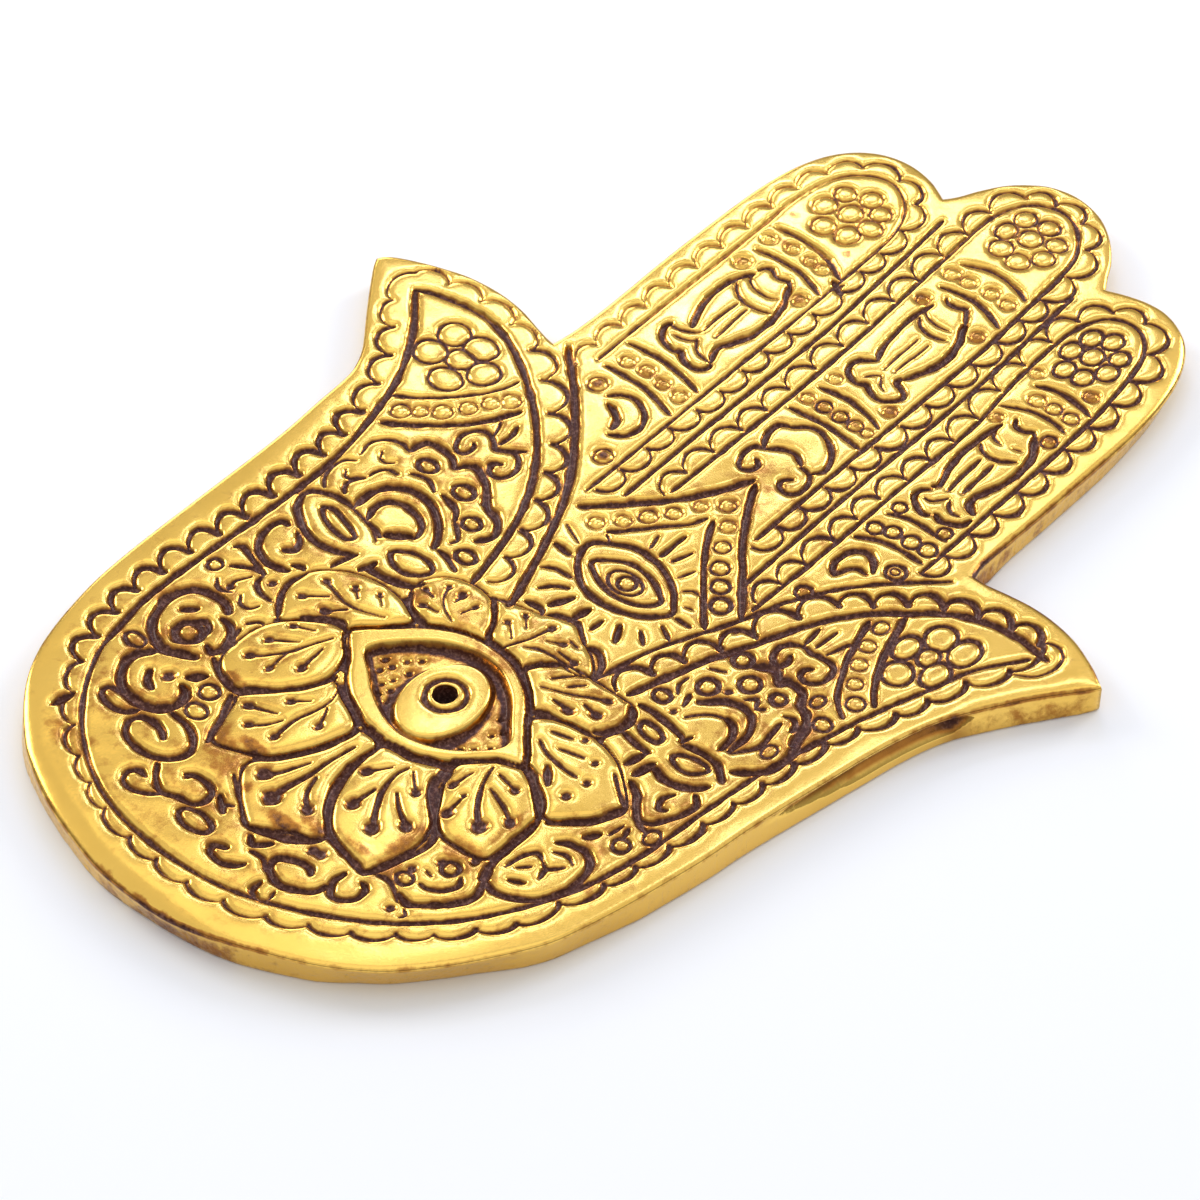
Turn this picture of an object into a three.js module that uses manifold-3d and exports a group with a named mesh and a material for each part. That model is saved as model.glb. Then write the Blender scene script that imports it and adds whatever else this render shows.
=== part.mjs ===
// Hamsa incense holder: one cast metal hand, open side up, with a lotus and a drilled eye for the stick.
// Millimetres, +X across the thumbs, +Y to the fingertips, +Z up; it stands on its flat back at z = 0.

import * as THREE from 'three';
import { mergeVertices } from 'three/addons/utils/BufferGeometryUtils.js';
import Module from 'manifold-3d';

const wasm = await Module();
wasm.setup();

// Driving sizes
const SHEET_SIDE = 100; // side of the square sheet that the flat drawing of the hand is laid out on
const PLATE_THICKNESS = 3.6; // flat back to the polished rim
const EDGE_BEVEL = 0.5; // bevel round the top edge and the foot of the wall
const STICK_HOLE = 2.6; // diameter of the drilled hole
const LINE_WIDTH = 0.9; // mouth of the chased border lines
const SCALLOP_WIDTH = 0.7; // mouth of the scallop strokes
const LINE_DEPTH = 0.7; // depth of the border lines
const SCALLOP_DEPTH = 0.5; // depth of the scallop strokes
const LOTUS_DEPTH = 0.8; // sunk ground of the lotus, below the rim
const PETAL_RISE = 0.35; // top of the petals and lids, above the rim
const PETAL_BEVEL = 0.3; // rounded shoulder of a petal
const IRIS_RISE = 0.3; // crown of the iris, above the rim
const IRIS_RING_WIDTH = 0.7; // groove round the pupil
const IRIS_RING_DEPTH = 0.4;
const FLOWER_SPREAD = 3.4; // radius on which the notches of a flower's outline lie
const FLOWER_MIDDLE = 1.7; // radius of the ring groove round its middle
const FISH_LENGTH = 18.4; // head to tail of the fish on each finger
const FACET = 3.2; // longest straight step round the outline
const OVERRUN = 0.6; // how far every cutting tool stands clear of the metal
const scallopBulgeShare = 0.36; // height of a scallop, of the distance between its cusps
const scallopShoulderShares = [0.22, 0.78]; // where its two shoulders lie along that distance

// Outline of the rim, as shares of the sheet, between its six corners, anticlockwise from the right thumb
const rightThumbTopShares = [
  [0.498, 0.137], [0.48, 0.15], [0.46, 0.161], [0.435, 0.172], [0.405, 0.179], [0.375, 0.181], [0.345, 0.178],
  [0.32, 0.174], [0.302, 0.174],
];
const rightFingerShares = [
  [0.302, 0.174], [0.297, 0.2], [0.2975, 0.25], [0.2985, 0.32], [0.2985, 0.4], [0.2975, 0.46], [0.293, 0.51],
  [0.284, 0.553], [0.27, 0.589], [0.252, 0.615], [0.23, 0.63], [0.205, 0.639], [0.18, 0.639], [0.155, 0.633],
  [0.134, 0.625],
];
const middleFingerShares = [
  [0.134, 0.625], [0.123, 0.643], [0.11, 0.667], [0.09, 0.692], [0.065, 0.713], [0.04, 0.725], [0.01, 0.73],
  [-0.02, 0.724], [-0.042, 0.71], [-0.062, 0.69], [-0.078, 0.664], [-0.09, 0.639], [-0.1, 0.624],
];
const leftFingerShares = [
  [-0.1, 0.624], [-0.125, 0.637], [-0.15, 0.644], [-0.175, 0.645], [-0.2, 0.639], [-0.222, 0.626],
  [-0.24, 0.607], [-0.254, 0.582], [-0.265, 0.545], [-0.2705, 0.5], [-0.272, 0.46], [-0.272, 0.41],
  [-0.2715, 0.36], [-0.27, 0.31], [-0.2675, 0.26], [-0.266, 0.21], [-0.267, 0.17], [-0.27, 0.143],
];
const leftThumbTopShares = [
  [-0.27, 0.143], [-0.28, 0.1445], [-0.3, 0.15], [-0.33, 0.159], [-0.36, 0.1635], [-0.39, 0.1635],
  [-0.42, 0.1595], [-0.45, 0.1505], [-0.475, 0.141], [-0.5, 0.129], [-0.512, 0.119], [-0.515, 0.112],
];
const palmShares = [
  [-0.515, 0.112], [-0.508, 0.1], [-0.492, 0.079], [-0.472, 0.054], [-0.452, 0.03], [-0.435, 0.01],
  [-0.421, -0.008], [-0.41, -0.028], [-0.4035, -0.05], [-0.399, -0.1], [-0.394, -0.15], [-0.3915, -0.2],
  [-0.3905, -0.25], [-0.3895, -0.3], [-0.388, -0.35], [-0.385, -0.4], [-0.38, -0.445], [-0.372, -0.485],
  [-0.363, -0.52], [-0.351, -0.552], [-0.333, -0.584], [-0.31, -0.613], [-0.28, -0.64], [-0.25, -0.662],
  [-0.2, -0.687], [-0.15, -0.703], [-0.1, -0.714], [-0.05, -0.717], [0, -0.714], [0.042, -0.705],
  [0.074, -0.694], [0.112, -0.678], [0.157, -0.656], [0.199, -0.627], [0.228, -0.598], [0.26, -0.557],
  [0.298, -0.496], [0.313, -0.455], [0.327, -0.4], [0.337, -0.35], [0.346, -0.3], [0.352, -0.25],
  [0.36, -0.2], [0.369, -0.15], [0.378, -0.1], [0.387, -0.06], [0.398, -0.023], [0.412, 0.01],
  [0.433, 0.047], [0.457, 0.084], [0.498, 0.137],
];
const outlineStretchShares = [
  rightThumbTopShares, rightFingerShares, middleFingerShares, leftFingerShares, leftThumbTopShares, palmShares,
];

// Chased lines: the long grooves that frame the fingers, the thumbs and the palm
const borderLineShares = [
  [[-0.085, -0.187], [-0.097, -0.135], [-0.123, -0.063], [-0.17, 0.007], [-0.235, 0.067], [-0.305, 0.11],
    [-0.36, 0.124], [-0.42, 0.115], [-0.446, 0.104]],
  [[-0.446, 0.104], [-0.4, 0.053], [-0.362, -0.01], [-0.338, -0.078], [-0.323, -0.15], [-0.32, -0.25],
    [-0.323, -0.35], [-0.323, -0.43], [-0.31, -0.5], [-0.285, -0.55], [-0.24, -0.6], [-0.17, -0.642],
    [-0.09, -0.658], [0, -0.653], [0.09, -0.623], [0.15, -0.588], [0.19, -0.555], [0.23, -0.51], [0.262, -0.455],
    [0.283, -0.4], [0.297, -0.33], [0.306, -0.24], [0.315, -0.17], [0.33, -0.11], [0.348, -0.04], [0.37, 0.025],
    [0.385, 0.07], [0.425, 0.122]],
  [[0.433, 0.13], [0.38, 0.136], [0.325, 0.12], [0.285, 0.088], [0.245, 0.048], [0.218, 0.005],
    [0.195, -0.048], [0.165, -0.12], [0.143, -0.195]],
  [[-0.255, 0.151], [-0.185, 0.085], [-0.115, 0], [-0.07, -0.085], [-0.032, -0.187]],
  [[0.289, 0.153], [0.225, 0.087], [0.182, 0.02], [0.155, -0.05], [0.12, -0.13], [0.105, -0.195]],
];
const fingerLineShares = [
  [[-0.215, 0.155], [-0.22, 0.29], [-0.224, 0.44], [-0.227, 0.5], [-0.22, 0.555], [-0.2, 0.59], [-0.165, 0.606],
    [-0.13, 0.59], [-0.107, 0.55], [-0.099, 0.49], [-0.094, 0.34], [-0.091, 0.2], [-0.087, -0.005]],
  [[-0.077, 0.595], [-0.066, 0.48], [-0.057, 0.36], [-0.055, 0.16], [-0.052, 0.018]],
  [[-0.018, 0.055], [-0.018, 0.24], [-0.024, 0.41], [-0.033, 0.52], [-0.039, 0.62], [-0.03, 0.665],
    [-0.01, 0.69], [0.015, 0.698], [0.04, 0.69], [0.063, 0.667], [0.079, 0.63], [0.087, 0.55], [0.093, 0.44],
    [0.094, 0.24], [0.096, 0.06]],
  [[0.114, 0.59], [0.118, 0.52], [0.125, 0.4], [0.126, 0.2], [0.13, 0]],
  [[0.16, -0.02], [0.162, 0.12], [0.161, 0.26], [0.16, 0.36], [0.15, 0.44], [0.147, 0.53], [0.156, 0.575],
    [0.172, 0.593], [0.192, 0.598], [0.212, 0.59], [0.233, 0.56], [0.246, 0.49], [0.253, 0.39], [0.257, 0.14]],
];
const diamondLineShares = [
  [[-0.078, -0.028], [-0.04, 0.008], [-0.01, 0.04], [0.038, 0.13]],
  [[0.04, 0.128], [0.083, 0.05], [0.115, 0.01], [0.158, -0.038]],
  [[-0.03, -0.035], [0.005, 0.005], [0.036, 0.053]],
  [[0.042, 0.053], [0.07, 0.005], [0.1, -0.03], [0.138, -0.072]],
];

// Cusps of the scallop rows; each row bulges to the right of the way it runs
const scallopRowShares = [
  [[-0.466, 0.124], [-0.424, 0.137], [-0.377, 0.141], [-0.326, 0.137], [-0.28, 0.12], [-0.238, 0.093],
    [-0.196, 0.059], [-0.161, 0.025], [-0.137, -0.012], [-0.116, -0.05], [-0.097, -0.094], [-0.083, -0.134],
    [-0.072, -0.173]].reverse(),
  [[-0.466, 0.124], [-0.453, 0.073], [-0.422, 0.042], [-0.392, 0.007], [-0.371, -0.035], [-0.354, -0.079],
    [-0.342, -0.117], [-0.338, -0.154], [-0.336, -0.194], [-0.333, -0.235], [-0.333, -0.277], [-0.335, -0.314],
    [-0.339, -0.353], [-0.339, -0.393], [-0.34, -0.43], [-0.333, -0.466], [-0.323, -0.503], [-0.308, -0.538],
    [-0.282, -0.574], [-0.25, -0.603], [-0.215, -0.628], [-0.18, -0.645], [-0.144, -0.659], [-0.098, -0.668],
    [-0.058, -0.67], [-0.015, -0.67], [0.028, -0.662], [0.073, -0.648], [0.112, -0.628], [0.149, -0.607],
    [0.183, -0.579], [0.211, -0.555], [0.237, -0.523], [0.262, -0.492], [0.275, -0.445], [0.292, -0.398],
    [0.3, -0.36], [0.307, -0.318], [0.313, -0.274], [0.318, -0.233], [0.323, -0.194], [0.328, -0.152],
    [0.335, -0.11], [0.347, -0.073], [0.364, -0.032], [0.375, 0.005], [0.39, 0.05], [0.413, 0.093],
    [0.413, 0.147]],
  [[0.413, 0.147], [0.376, 0.148], [0.341, 0.139], [0.304, 0.126], [0.277, 0.101], [0.248, 0.077],
    [0.222, 0.047], [0.201, 0.006], [0.186, -0.045], [0.17, -0.082], [0.153, -0.12], [0.14, -0.155],
    [0.128, -0.198]],
];
const fingerScallopShares = [
  [[-0.228, 0.135], [-0.233, 0.173], [-0.232, 0.215], [-0.234, 0.257], [-0.236, 0.3], [-0.236, 0.345],
    [-0.237, 0.39], [-0.238, 0.435], [-0.238, 0.48], [-0.238, 0.525], [-0.23, 0.568], [-0.205, 0.605],
    [-0.158, 0.616], [-0.118, 0.597], [-0.102, 0.549], [-0.093, 0.503], [-0.09, 0.463], [-0.09, 0.42],
    [-0.085, 0.373], [-0.086, 0.331], [-0.085, 0.29], [-0.083, 0.25], [-0.08, 0.209], [-0.079, 0.169],
    [-0.083, 0.128], [-0.081, 0.088], [-0.08, 0.045], [-0.078, 0.004]].reverse(),
  [[-0.022, 0.047], [-0.027, 0.088], [-0.026, 0.132], [-0.026, 0.178], [-0.026, 0.22], [-0.029, 0.262],
    [-0.029, 0.307], [-0.03, 0.355], [-0.032, 0.403], [-0.034, 0.45], [-0.036, 0.497], [-0.042, 0.548],
    [-0.043, 0.596], [-0.046, 0.642], [-0.032, 0.69], [0.002, 0.705], [0.045, 0.698], [0.077, 0.665],
    [0.09, 0.614], [0.092, 0.563], [0.094, 0.52], [0.095, 0.474], [0.099, 0.428], [0.1, 0.385], [0.102, 0.343],
    [0.103, 0.3], [0.103, 0.255], [0.103, 0.213], [0.103, 0.171], [0.103, 0.13], [0.103, 0.091],
    [0.103, 0.05]].reverse(),
  [[0.154, -0.008], [0.155, 0.03], [0.157, 0.07], [0.157, 0.117], [0.154, 0.157], [0.153, 0.197],
    [0.155, 0.239], [0.157, 0.28], [0.155, 0.32], [0.153, 0.365], [0.145, 0.415], [0.14, 0.466],
    [0.139, 0.515], [0.141, 0.563], [0.162, 0.6], [0.2, 0.611], [0.238, 0.574], [0.253, 0.525],
    [0.256, 0.48], [0.259, 0.435], [0.262, 0.39], [0.263, 0.347], [0.264, 0.308], [0.264, 0.262],
    [0.265, 0.225], [0.266, 0.183], [0.26, 0.14]].reverse(),
];

// Lotus: the sunk ground and its ten petals
const lotusGroundShares = [
  [-0.045, -0.185], [0.042, -0.155], [0.1, -0.195], [0.166, -0.2], [0.172, -0.255], [0.215, -0.275],
  [0.25, -0.315], [0.19, -0.385], [0.195, -0.46], [0.13, -0.46], [0.127, -0.5], [0.11, -0.552], [0.045, -0.55],
  [-0.02, -0.585], [-0.075, -0.55], [-0.085, -0.525], [-0.133, -0.53], [-0.155, -0.47], [-0.2, -0.455],
  [-0.213, -0.41], [-0.205, -0.365], [-0.232, -0.31], [-0.21, -0.265], [-0.13, -0.248], [-0.125, -0.215],
];
const petalShares = [
  [[-0.08, -0.262], [-0.118, -0.245], [-0.122, -0.218], [-0.1, -0.195], [-0.072, -0.188], [-0.042, -0.2],
    [-0.024, -0.232], [-0.05, -0.246]],
  [[-0.013, -0.23], [-0.03, -0.205], [-0.04, -0.186], [0, -0.173], [0.042, -0.162], [0.075, -0.18],
    [0.096, -0.204], [0.06, -0.209], [0.04, -0.233], [0.01, -0.229]],
  [[0.053, -0.238], [0.062, -0.217], [0.105, -0.207], [0.152, -0.206], [0.165, -0.232], [0.152, -0.258],
    [0.1, -0.27], [0.085, -0.268]],
  [[0.1, -0.285], [0.13, -0.27], [0.172, -0.266], [0.21, -0.283], [0.24, -0.313], [0.222, -0.348],
    [0.193, -0.37], [0.152, -0.344], [0.125, -0.318]],
  [[0.09, -0.375], [0.108, -0.355], [0.13, -0.347], [0.16, -0.362], [0.182, -0.388], [0.185, -0.45],
    [0.14, -0.452], [0.107, -0.42]],
  [[0.015, -0.418], [0.055, -0.406], [0.08, -0.4], [0.1, -0.438], [0.118, -0.475], [0.112, -0.515],
    [0.1, -0.54], [0.045, -0.522], [0.018, -0.48]],
  [[-0.026, -0.418], [-0.006, -0.418], [-0.003, -0.475], [0.018, -0.517], [0.035, -0.54], [0.005, -0.552],
    [-0.02, -0.573], [-0.045, -0.555], [-0.075, -0.53], [-0.058, -0.502], [-0.034, -0.455]],
  [[-0.085, -0.395], [-0.04, -0.415], [-0.043, -0.45], [-0.067, -0.49], [-0.09, -0.512], [-0.128, -0.52],
    [-0.148, -0.468], [-0.11, -0.42]],
  [[-0.13, -0.337], [-0.112, -0.362], [-0.104, -0.392], [-0.13, -0.43], [-0.17, -0.452], [-0.198, -0.44],
    [-0.204, -0.395], [-0.19, -0.36], [-0.15, -0.336]],
  [[-0.138, -0.32], [-0.118, -0.3], [-0.1, -0.272], [-0.14, -0.256], [-0.18, -0.26], [-0.21, -0.283],
    [-0.222, -0.31], [-0.198, -0.352], [-0.17, -0.335]],
];

// The great eye in the lotus and the small one above it
const eyeShares = [
  [-0.132, -0.324], [-0.105, -0.294], [-0.07, -0.262], [-0.035, -0.244], [0, -0.239], [0.035, -0.245],
  [0.07, -0.266], [0.1, -0.3], [0.131, -0.338], [0.105, -0.353], [0.08, -0.378], [0.045, -0.4], [0.005, -0.409],
  [-0.035, -0.404], [-0.075, -0.384], [-0.105, -0.353],
];
const eyeOpeningShares = [
  [-0.1, -0.328], [-0.072, -0.29], [-0.035, -0.264], [0.01, -0.256], [0.05, -0.272], [0.08, -0.302],
  [0.1, -0.333], [0.07, -0.368], [0.035, -0.387], [0, -0.392], [-0.04, -0.378], [-0.075, -0.353],
];
const irisCentreShare = [0.009, -0.328];
const irisHalfShare = [0.046, 0.057]; // half width and half length of the egg-shaped iris
const stickHoleShare = [0.005, -0.322];
const pupilRadiusShare = 0.023; // middle of the ring groove round the pupil
const smallEyeShares = [
  [-0.032, -0.078], [-0.01, -0.048], [0.035, -0.037], [0.075, -0.05], [0.1, -0.08], [0.072, -0.11],
  [0.035, -0.12], [0, -0.108],
];
const smallIrisCentreShare = [0.036, -0.078];
const smallIrisHalfShare = [0.024, 0.015];

// Six-petalled flowers in the thumbs and the fingertips
const flowerCentreShares = [
  [-0.333, 0.056], [0.343, 0.052], [-0.165, 0.53], [0.018, 0.635], [0.19, 0.527],
];
const flowerPetalCount = 6;

// Fish, head up, one on each finger: its ring as shares of its length, and where each lies on the sheet
const fishShares = [
  [-0.03, 0.495], [0.12, 0.445], [0.217, 0.2], [0.222, -0.045], [0.152, -0.26], [0.222, -0.424],
  [0.103, -0.495], [-0.016, -0.43], [-0.168, -0.44], [-0.234, -0.288], [-0.109, -0.223], [-0.206, 0.01],
  [-0.206, 0.255], [-0.152, 0.445],
];
const fishCentreShares = [[-0.154, 0.308], [0.035, 0.404], [0.21, 0.303]];

const ROUND_STEPS = 48; // facets round a full circle
const SMALL_ROUND_STEPS = 7;

// Turns a list of shares into points of the drawing, in millimetres
function onSheet(shares) {
  return shares.map(([x, y]) => new THREE.Vector2(x * SHEET_SIDE, y * SHEET_SIDE));
}

// Smooth run through the points, with a set number of steps in each span
function smoothRun(points, stepsPerSpan) {
  return new THREE.SplineCurve(points).getPoints((points.length - 1) * stepsPerSpan);
}

// Closed smooth ring through the points
function smoothRing(points, stepsPerSpan) {
  const loop = points.map((p) => new THREE.Vector3(p.x, p.y, 0));
  const curve = new THREE.CatmullRomCurve3(loop, true, 'centripetal');
  const ring = curve.getPoints(points.length * stepsPerSpan).slice(0, -1);
  return ring.map((p) => new THREE.Vector2(p.x, p.y));
}

function ellipse(centre, halfWidth, halfLength, steps) {
  const curve = new THREE.EllipseCurve(centre.x, centre.y, halfWidth, halfLength);
  return curve.getPoints(steps).slice(0, -1);
}

// Closed geometry to a solid that can be joined and cut
function solidOf(geometry) {
  const bare = geometry.index ? geometry.toNonIndexed() : geometry.clone();
  bare.deleteAttribute('normal');
  bare.deleteAttribute('uv');
  const merged = mergeVertices(bare, 1e-5);
  const mesh = new wasm.Mesh({
    numProp: 3,
    vertProperties: new Float32Array(merged.attributes.position.array),
    triVerts: new Uint32Array(merged.index.array),
  });
  return new wasm.Manifold(mesh);
}

// Upright block on an outline, from one height to another, with an optional bevel at its edges
function block(points, bottom, top, bevel = 0) {
  const geometry = new THREE.ExtrudeGeometry(new THREE.Shape(points), {
    depth: top - bottom - 2 * bevel,
    steps: 1,
    bevelEnabled: bevel > 0,
    bevelThickness: bevel,
    bevelSize: bevel,
    bevelOffset: -bevel,
    bevelSegments: 1,
    curveSegments: 1,
  });
  geometry.translate(0, 0, bottom + bevel);
  return solidOf(geometry);
}

// Cutting tool for a groove: a V section swept along the stroke, wider above the metal
function grooveTool(run, mouth, depth, closed = false) {
  const top = PLATE_THICKNESS + PETAL_RISE + OVERRUN;
  const floor = PLATE_THICKNESS - depth;
  const halfTop = (mouth / 2) * ((top - floor) / depth);
  const positions = [];
  const count = run.length;
  run.forEach((point, i) => {
    const before = closed ? run[(i + count - 1) % count] : run[Math.max(i - 1, 0)];
    const after = closed ? run[(i + 1) % count] : run[Math.min(i + 1, count - 1)];
    const way = after.clone().sub(before).normalize();
    const side = new THREE.Vector2(-way.y, way.x).multiplyScalar(halfTop);
    positions.push(point.x + side.x, point.y + side.y, top);
    positions.push(point.x - side.x, point.y - side.y, top);
    positions.push(point.x, point.y, floor);
  });
  const faces = [];
  const last = (count - 1) * 3;
  for (let i = 0; i < (closed ? count : count - 1); i += 1) {
    const here = i * 3;
    const there = ((i + 1) % count) * 3;
    for (let k = 0; k < 3; k += 1) {
      const next = (k + 1) % 3;
      faces.push(here + k, here + next, there + next, here + k, there + next, there + k);
    }
  }
  if (!closed) faces.push(0, 2, 1, last, last + 1, last + 2);
  const geometry = new THREE.BufferGeometry();
  geometry.setAttribute('position', new THREE.Float32BufferAttribute(positions, 3));
  geometry.setIndex(faces);
  return solidOf(geometry);
}

// One scallop row: an arc over each pair of cusps
function scallopRun(cusps) {
  const run = [cusps[0]];
  for (let i = 1; i < cusps.length; i += 1) {
    const from = cusps[i - 1];
    const chord = cusps[i].clone().sub(from);
    const out = new THREE.Vector2(chord.y, -chord.x).multiplyScalar(scallopBulgeShare);
    for (const alongShare of scallopShoulderShares) {
      run.push(from.clone().addScaledVector(chord, alongShare).add(out));
    }
    run.push(cusps[i]);
  }
  return run;
}

// Ring groove round a centre, as a lathe of its section
function ringTool(centre, radius, mouth, depth, steps) {
  const top = PLATE_THICKNESS + IRIS_RISE + OVERRUN;
  const floor = PLATE_THICKNESS - depth;
  const half = mouth / 2;
  const section = [
    new THREE.Vector2(radius - half, floor), new THREE.Vector2(radius + half, floor),
    new THREE.Vector2(radius + half, top), new THREE.Vector2(radius - half, top),
    new THREE.Vector2(radius - half, floor),
  ];
  const geometry = new THREE.LatheGeometry(section, steps);
  geometry.rotateX(Math.PI / 2);
  geometry.translate(centre.x, centre.y, 0);
  return solidOf(geometry);
}

// The bare plate, bevelled round its edge
function makePlate() {
  const outline = outlineStretchShares.flatMap((stretch) => {
    const curve = new THREE.SplineCurve(onSheet(stretch));
    const steps = Math.ceil(curve.getLength() / FACET);
    return curve.getSpacedPoints(steps).slice(0, -1);
  });
  return block(outline, 0, PLATE_THICKNESS, EDGE_BEVEL);
}

// Chased lines and scallop rows, cut one after another
function cutLines(plate) {
  let cut = plate;
  for (const line of [...borderLineShares, ...fingerLineShares, ...diamondLineShares]) {
    cut = cut.subtract(grooveTool(smoothRun(onSheet(line), 2), LINE_WIDTH, LINE_DEPTH));
  }
  for (const row of [...scallopRowShares, ...fingerScallopShares]) {
    cut = cut.subtract(grooveTool(scallopRun(onSheet(row)), SCALLOP_WIDTH, SCALLOP_DEPTH));
  }
  return cut;
}

// Flowers: a scalloped ring round the petals and a round one about the middle
function cutFlowers(plate) {
  let cut = plate;
  for (const centre of onSheet(flowerCentreShares)) {
    const notches = ellipse(centre, FLOWER_SPREAD, FLOWER_SPREAD, flowerPetalCount);
    const petals = scallopRun([...notches, notches[0]]).slice(0, -1);
    const middle = ellipse(centre, FLOWER_MIDDLE, FLOWER_MIDDLE, SMALL_ROUND_STEPS);
    cut = cut.subtract(grooveTool(petals, SCALLOP_WIDTH, SCALLOP_DEPTH, true));
    cut = cut.subtract(grooveTool(middle, SCALLOP_WIDTH, SCALLOP_DEPTH, true));
  }
  return cut;
}

// Fish: one chased ring on each finger
function cutFish(plate) {
  let cut = plate;
  for (const centre of onSheet(fishCentreShares)) {
    const points = fishShares.map(([x, y]) => new THREE.Vector2(x, y).multiplyScalar(FISH_LENGTH).add(centre));
    cut = cut.subtract(grooveTool(smoothRing(points, 1), SCALLOP_WIDTH, SCALLOP_DEPTH, true));
  }
  return cut;
}

// Lotus: ground sunk below the rim, petals standing in it
function raiseLotus(plate) {
  const floor = PLATE_THICKNESS - LOTUS_DEPTH;
  const crown = PLATE_THICKNESS + PETAL_RISE;
  const ground = block(smoothRing(onSheet(lotusGroundShares), 2), floor, crown + OVERRUN);
  let lotus = plate.subtract(ground);
  for (const petal of petalShares) {
    lotus = lotus.add(block(smoothRing(onSheet(petal), 2), floor - OVERRUN, crown, PETAL_BEVEL));
  }
  return lotus;
}

// Great eye: lids round a sunk opening, with the iris and the pupil's ring in it
function raiseGreatEye(plate) {
  const floor = PLATE_THICKNESS - LOTUS_DEPTH;
  const crown = PLATE_THICKNESS + PETAL_RISE;
  const lids = block(smoothRing(onSheet(eyeShares), 2), floor - OVERRUN, crown, PETAL_BEVEL);
  const opening = block(smoothRing(onSheet(eyeOpeningShares), 2), floor, crown + OVERRUN);
  const [centre] = onSheet([irisCentreShare]);
  const [half] = onSheet([irisHalfShare]);
  const iris = ellipse(centre, half.x, half.y, ROUND_STEPS / 2);
  const [pupil] = onSheet([stickHoleShare]);
  return plate
    .add(lids)
    .subtract(opening)
    .add(block(iris, floor - OVERRUN, PLATE_THICKNESS + IRIS_RISE, PETAL_BEVEL))
    .subtract(ringTool(pupil, pupilRadiusShare * SHEET_SIDE, IRIS_RING_WIDTH, IRIS_RING_DEPTH, ROUND_STEPS / 2));
}

// Small eye: its outline and its iris are chased lines
function cutSmallEye(plate) {
  const outline = smoothRing(onSheet(smallEyeShares), 2);
  const [centre] = onSheet([smallIrisCentreShare]);
  const [half] = onSheet([smallIrisHalfShare]);
  const iris = ellipse(centre, half.x, half.y, SMALL_ROUND_STEPS * 2);
  return plate
    .subtract(grooveTool(outline, LINE_WIDTH, LINE_DEPTH, true))
    .subtract(grooveTool(iris, SCALLOP_WIDTH, SCALLOP_DEPTH, true));
}

// The hole that holds the stick, drilled right through
function drillStickHole(plate) {
  const [centre] = onSheet([stickHoleShare]);
  const drill = new THREE.CylinderGeometry(
    STICK_HOLE / 2, STICK_HOLE / 2, PLATE_THICKNESS + IRIS_RISE + 2 * OVERRUN, ROUND_STEPS / 2,
  );
  drill.rotateX(Math.PI / 2);
  drill.translate(centre.x, centre.y, (PLATE_THICKNESS + IRIS_RISE) / 2);
  return plate.subtract(solidOf(drill));
}

// Finished solid back to a geometry, moved so that the middle of its box is over the origin
function geometryOf(solid) {
  const mesh = solid.getMesh();
  const geometry = new THREE.BufferGeometry();
  geometry.setAttribute('position', new THREE.Float32BufferAttribute(mesh.vertProperties, 3));
  geometry.setIndex(Array.from(mesh.triVerts));
  geometry.computeBoundingBox();
  const middle = geometry.boundingBox.getCenter(new THREE.Vector3());
  geometry.translate(-middle.x, -middle.y, 0);
  return geometry;
}

const cutters = [cutLines, cutFlowers, cutFish, raiseLotus, raiseGreatEye, cutSmallEye, drillStickHole];
const casting = cutters.reduce((solid, work) => work(solid), makePlate());

const goldFinish = new THREE.MeshStandardMaterial({ color: 0xd9a845, roughness: 0.35, metalness: 1 });
const handCasting = new THREE.Mesh(geometryOf(casting), goldFinish);
handCasting.name = 'hand_casting';

const incenseHolder = new THREE.Group();
incenseHolder.add(handCasting);

export default incenseHolder;
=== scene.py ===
"""Hamsa incense holder: one cast brass-gold hand, chased all over, with dark patina left in its lines.

The flat drawing of the hand is laid out on a square sheet. Every table below holds places on that sheet in
hundredths of its side, and the sheet's real side comes from the frame, so the relief follows the cast hand.
"""
import math

import bpy
import numpy as np
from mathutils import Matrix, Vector
from mathutils.geometry import tessellate_polygon


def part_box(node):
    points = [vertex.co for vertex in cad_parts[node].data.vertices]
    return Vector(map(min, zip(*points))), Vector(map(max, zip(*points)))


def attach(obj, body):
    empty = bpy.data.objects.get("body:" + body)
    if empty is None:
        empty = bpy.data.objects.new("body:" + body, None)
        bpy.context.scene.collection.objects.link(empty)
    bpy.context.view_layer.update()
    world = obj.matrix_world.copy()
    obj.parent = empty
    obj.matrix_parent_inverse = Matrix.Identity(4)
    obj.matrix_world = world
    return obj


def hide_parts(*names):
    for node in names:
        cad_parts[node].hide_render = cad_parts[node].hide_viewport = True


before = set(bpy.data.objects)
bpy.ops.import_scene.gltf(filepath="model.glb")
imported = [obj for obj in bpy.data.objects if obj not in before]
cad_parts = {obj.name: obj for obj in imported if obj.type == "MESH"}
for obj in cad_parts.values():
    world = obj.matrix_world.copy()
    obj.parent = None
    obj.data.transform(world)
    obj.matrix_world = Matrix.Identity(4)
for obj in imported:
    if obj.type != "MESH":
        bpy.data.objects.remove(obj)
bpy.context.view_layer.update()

NODE_LOW, NODE_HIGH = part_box("hand_casting")

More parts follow.
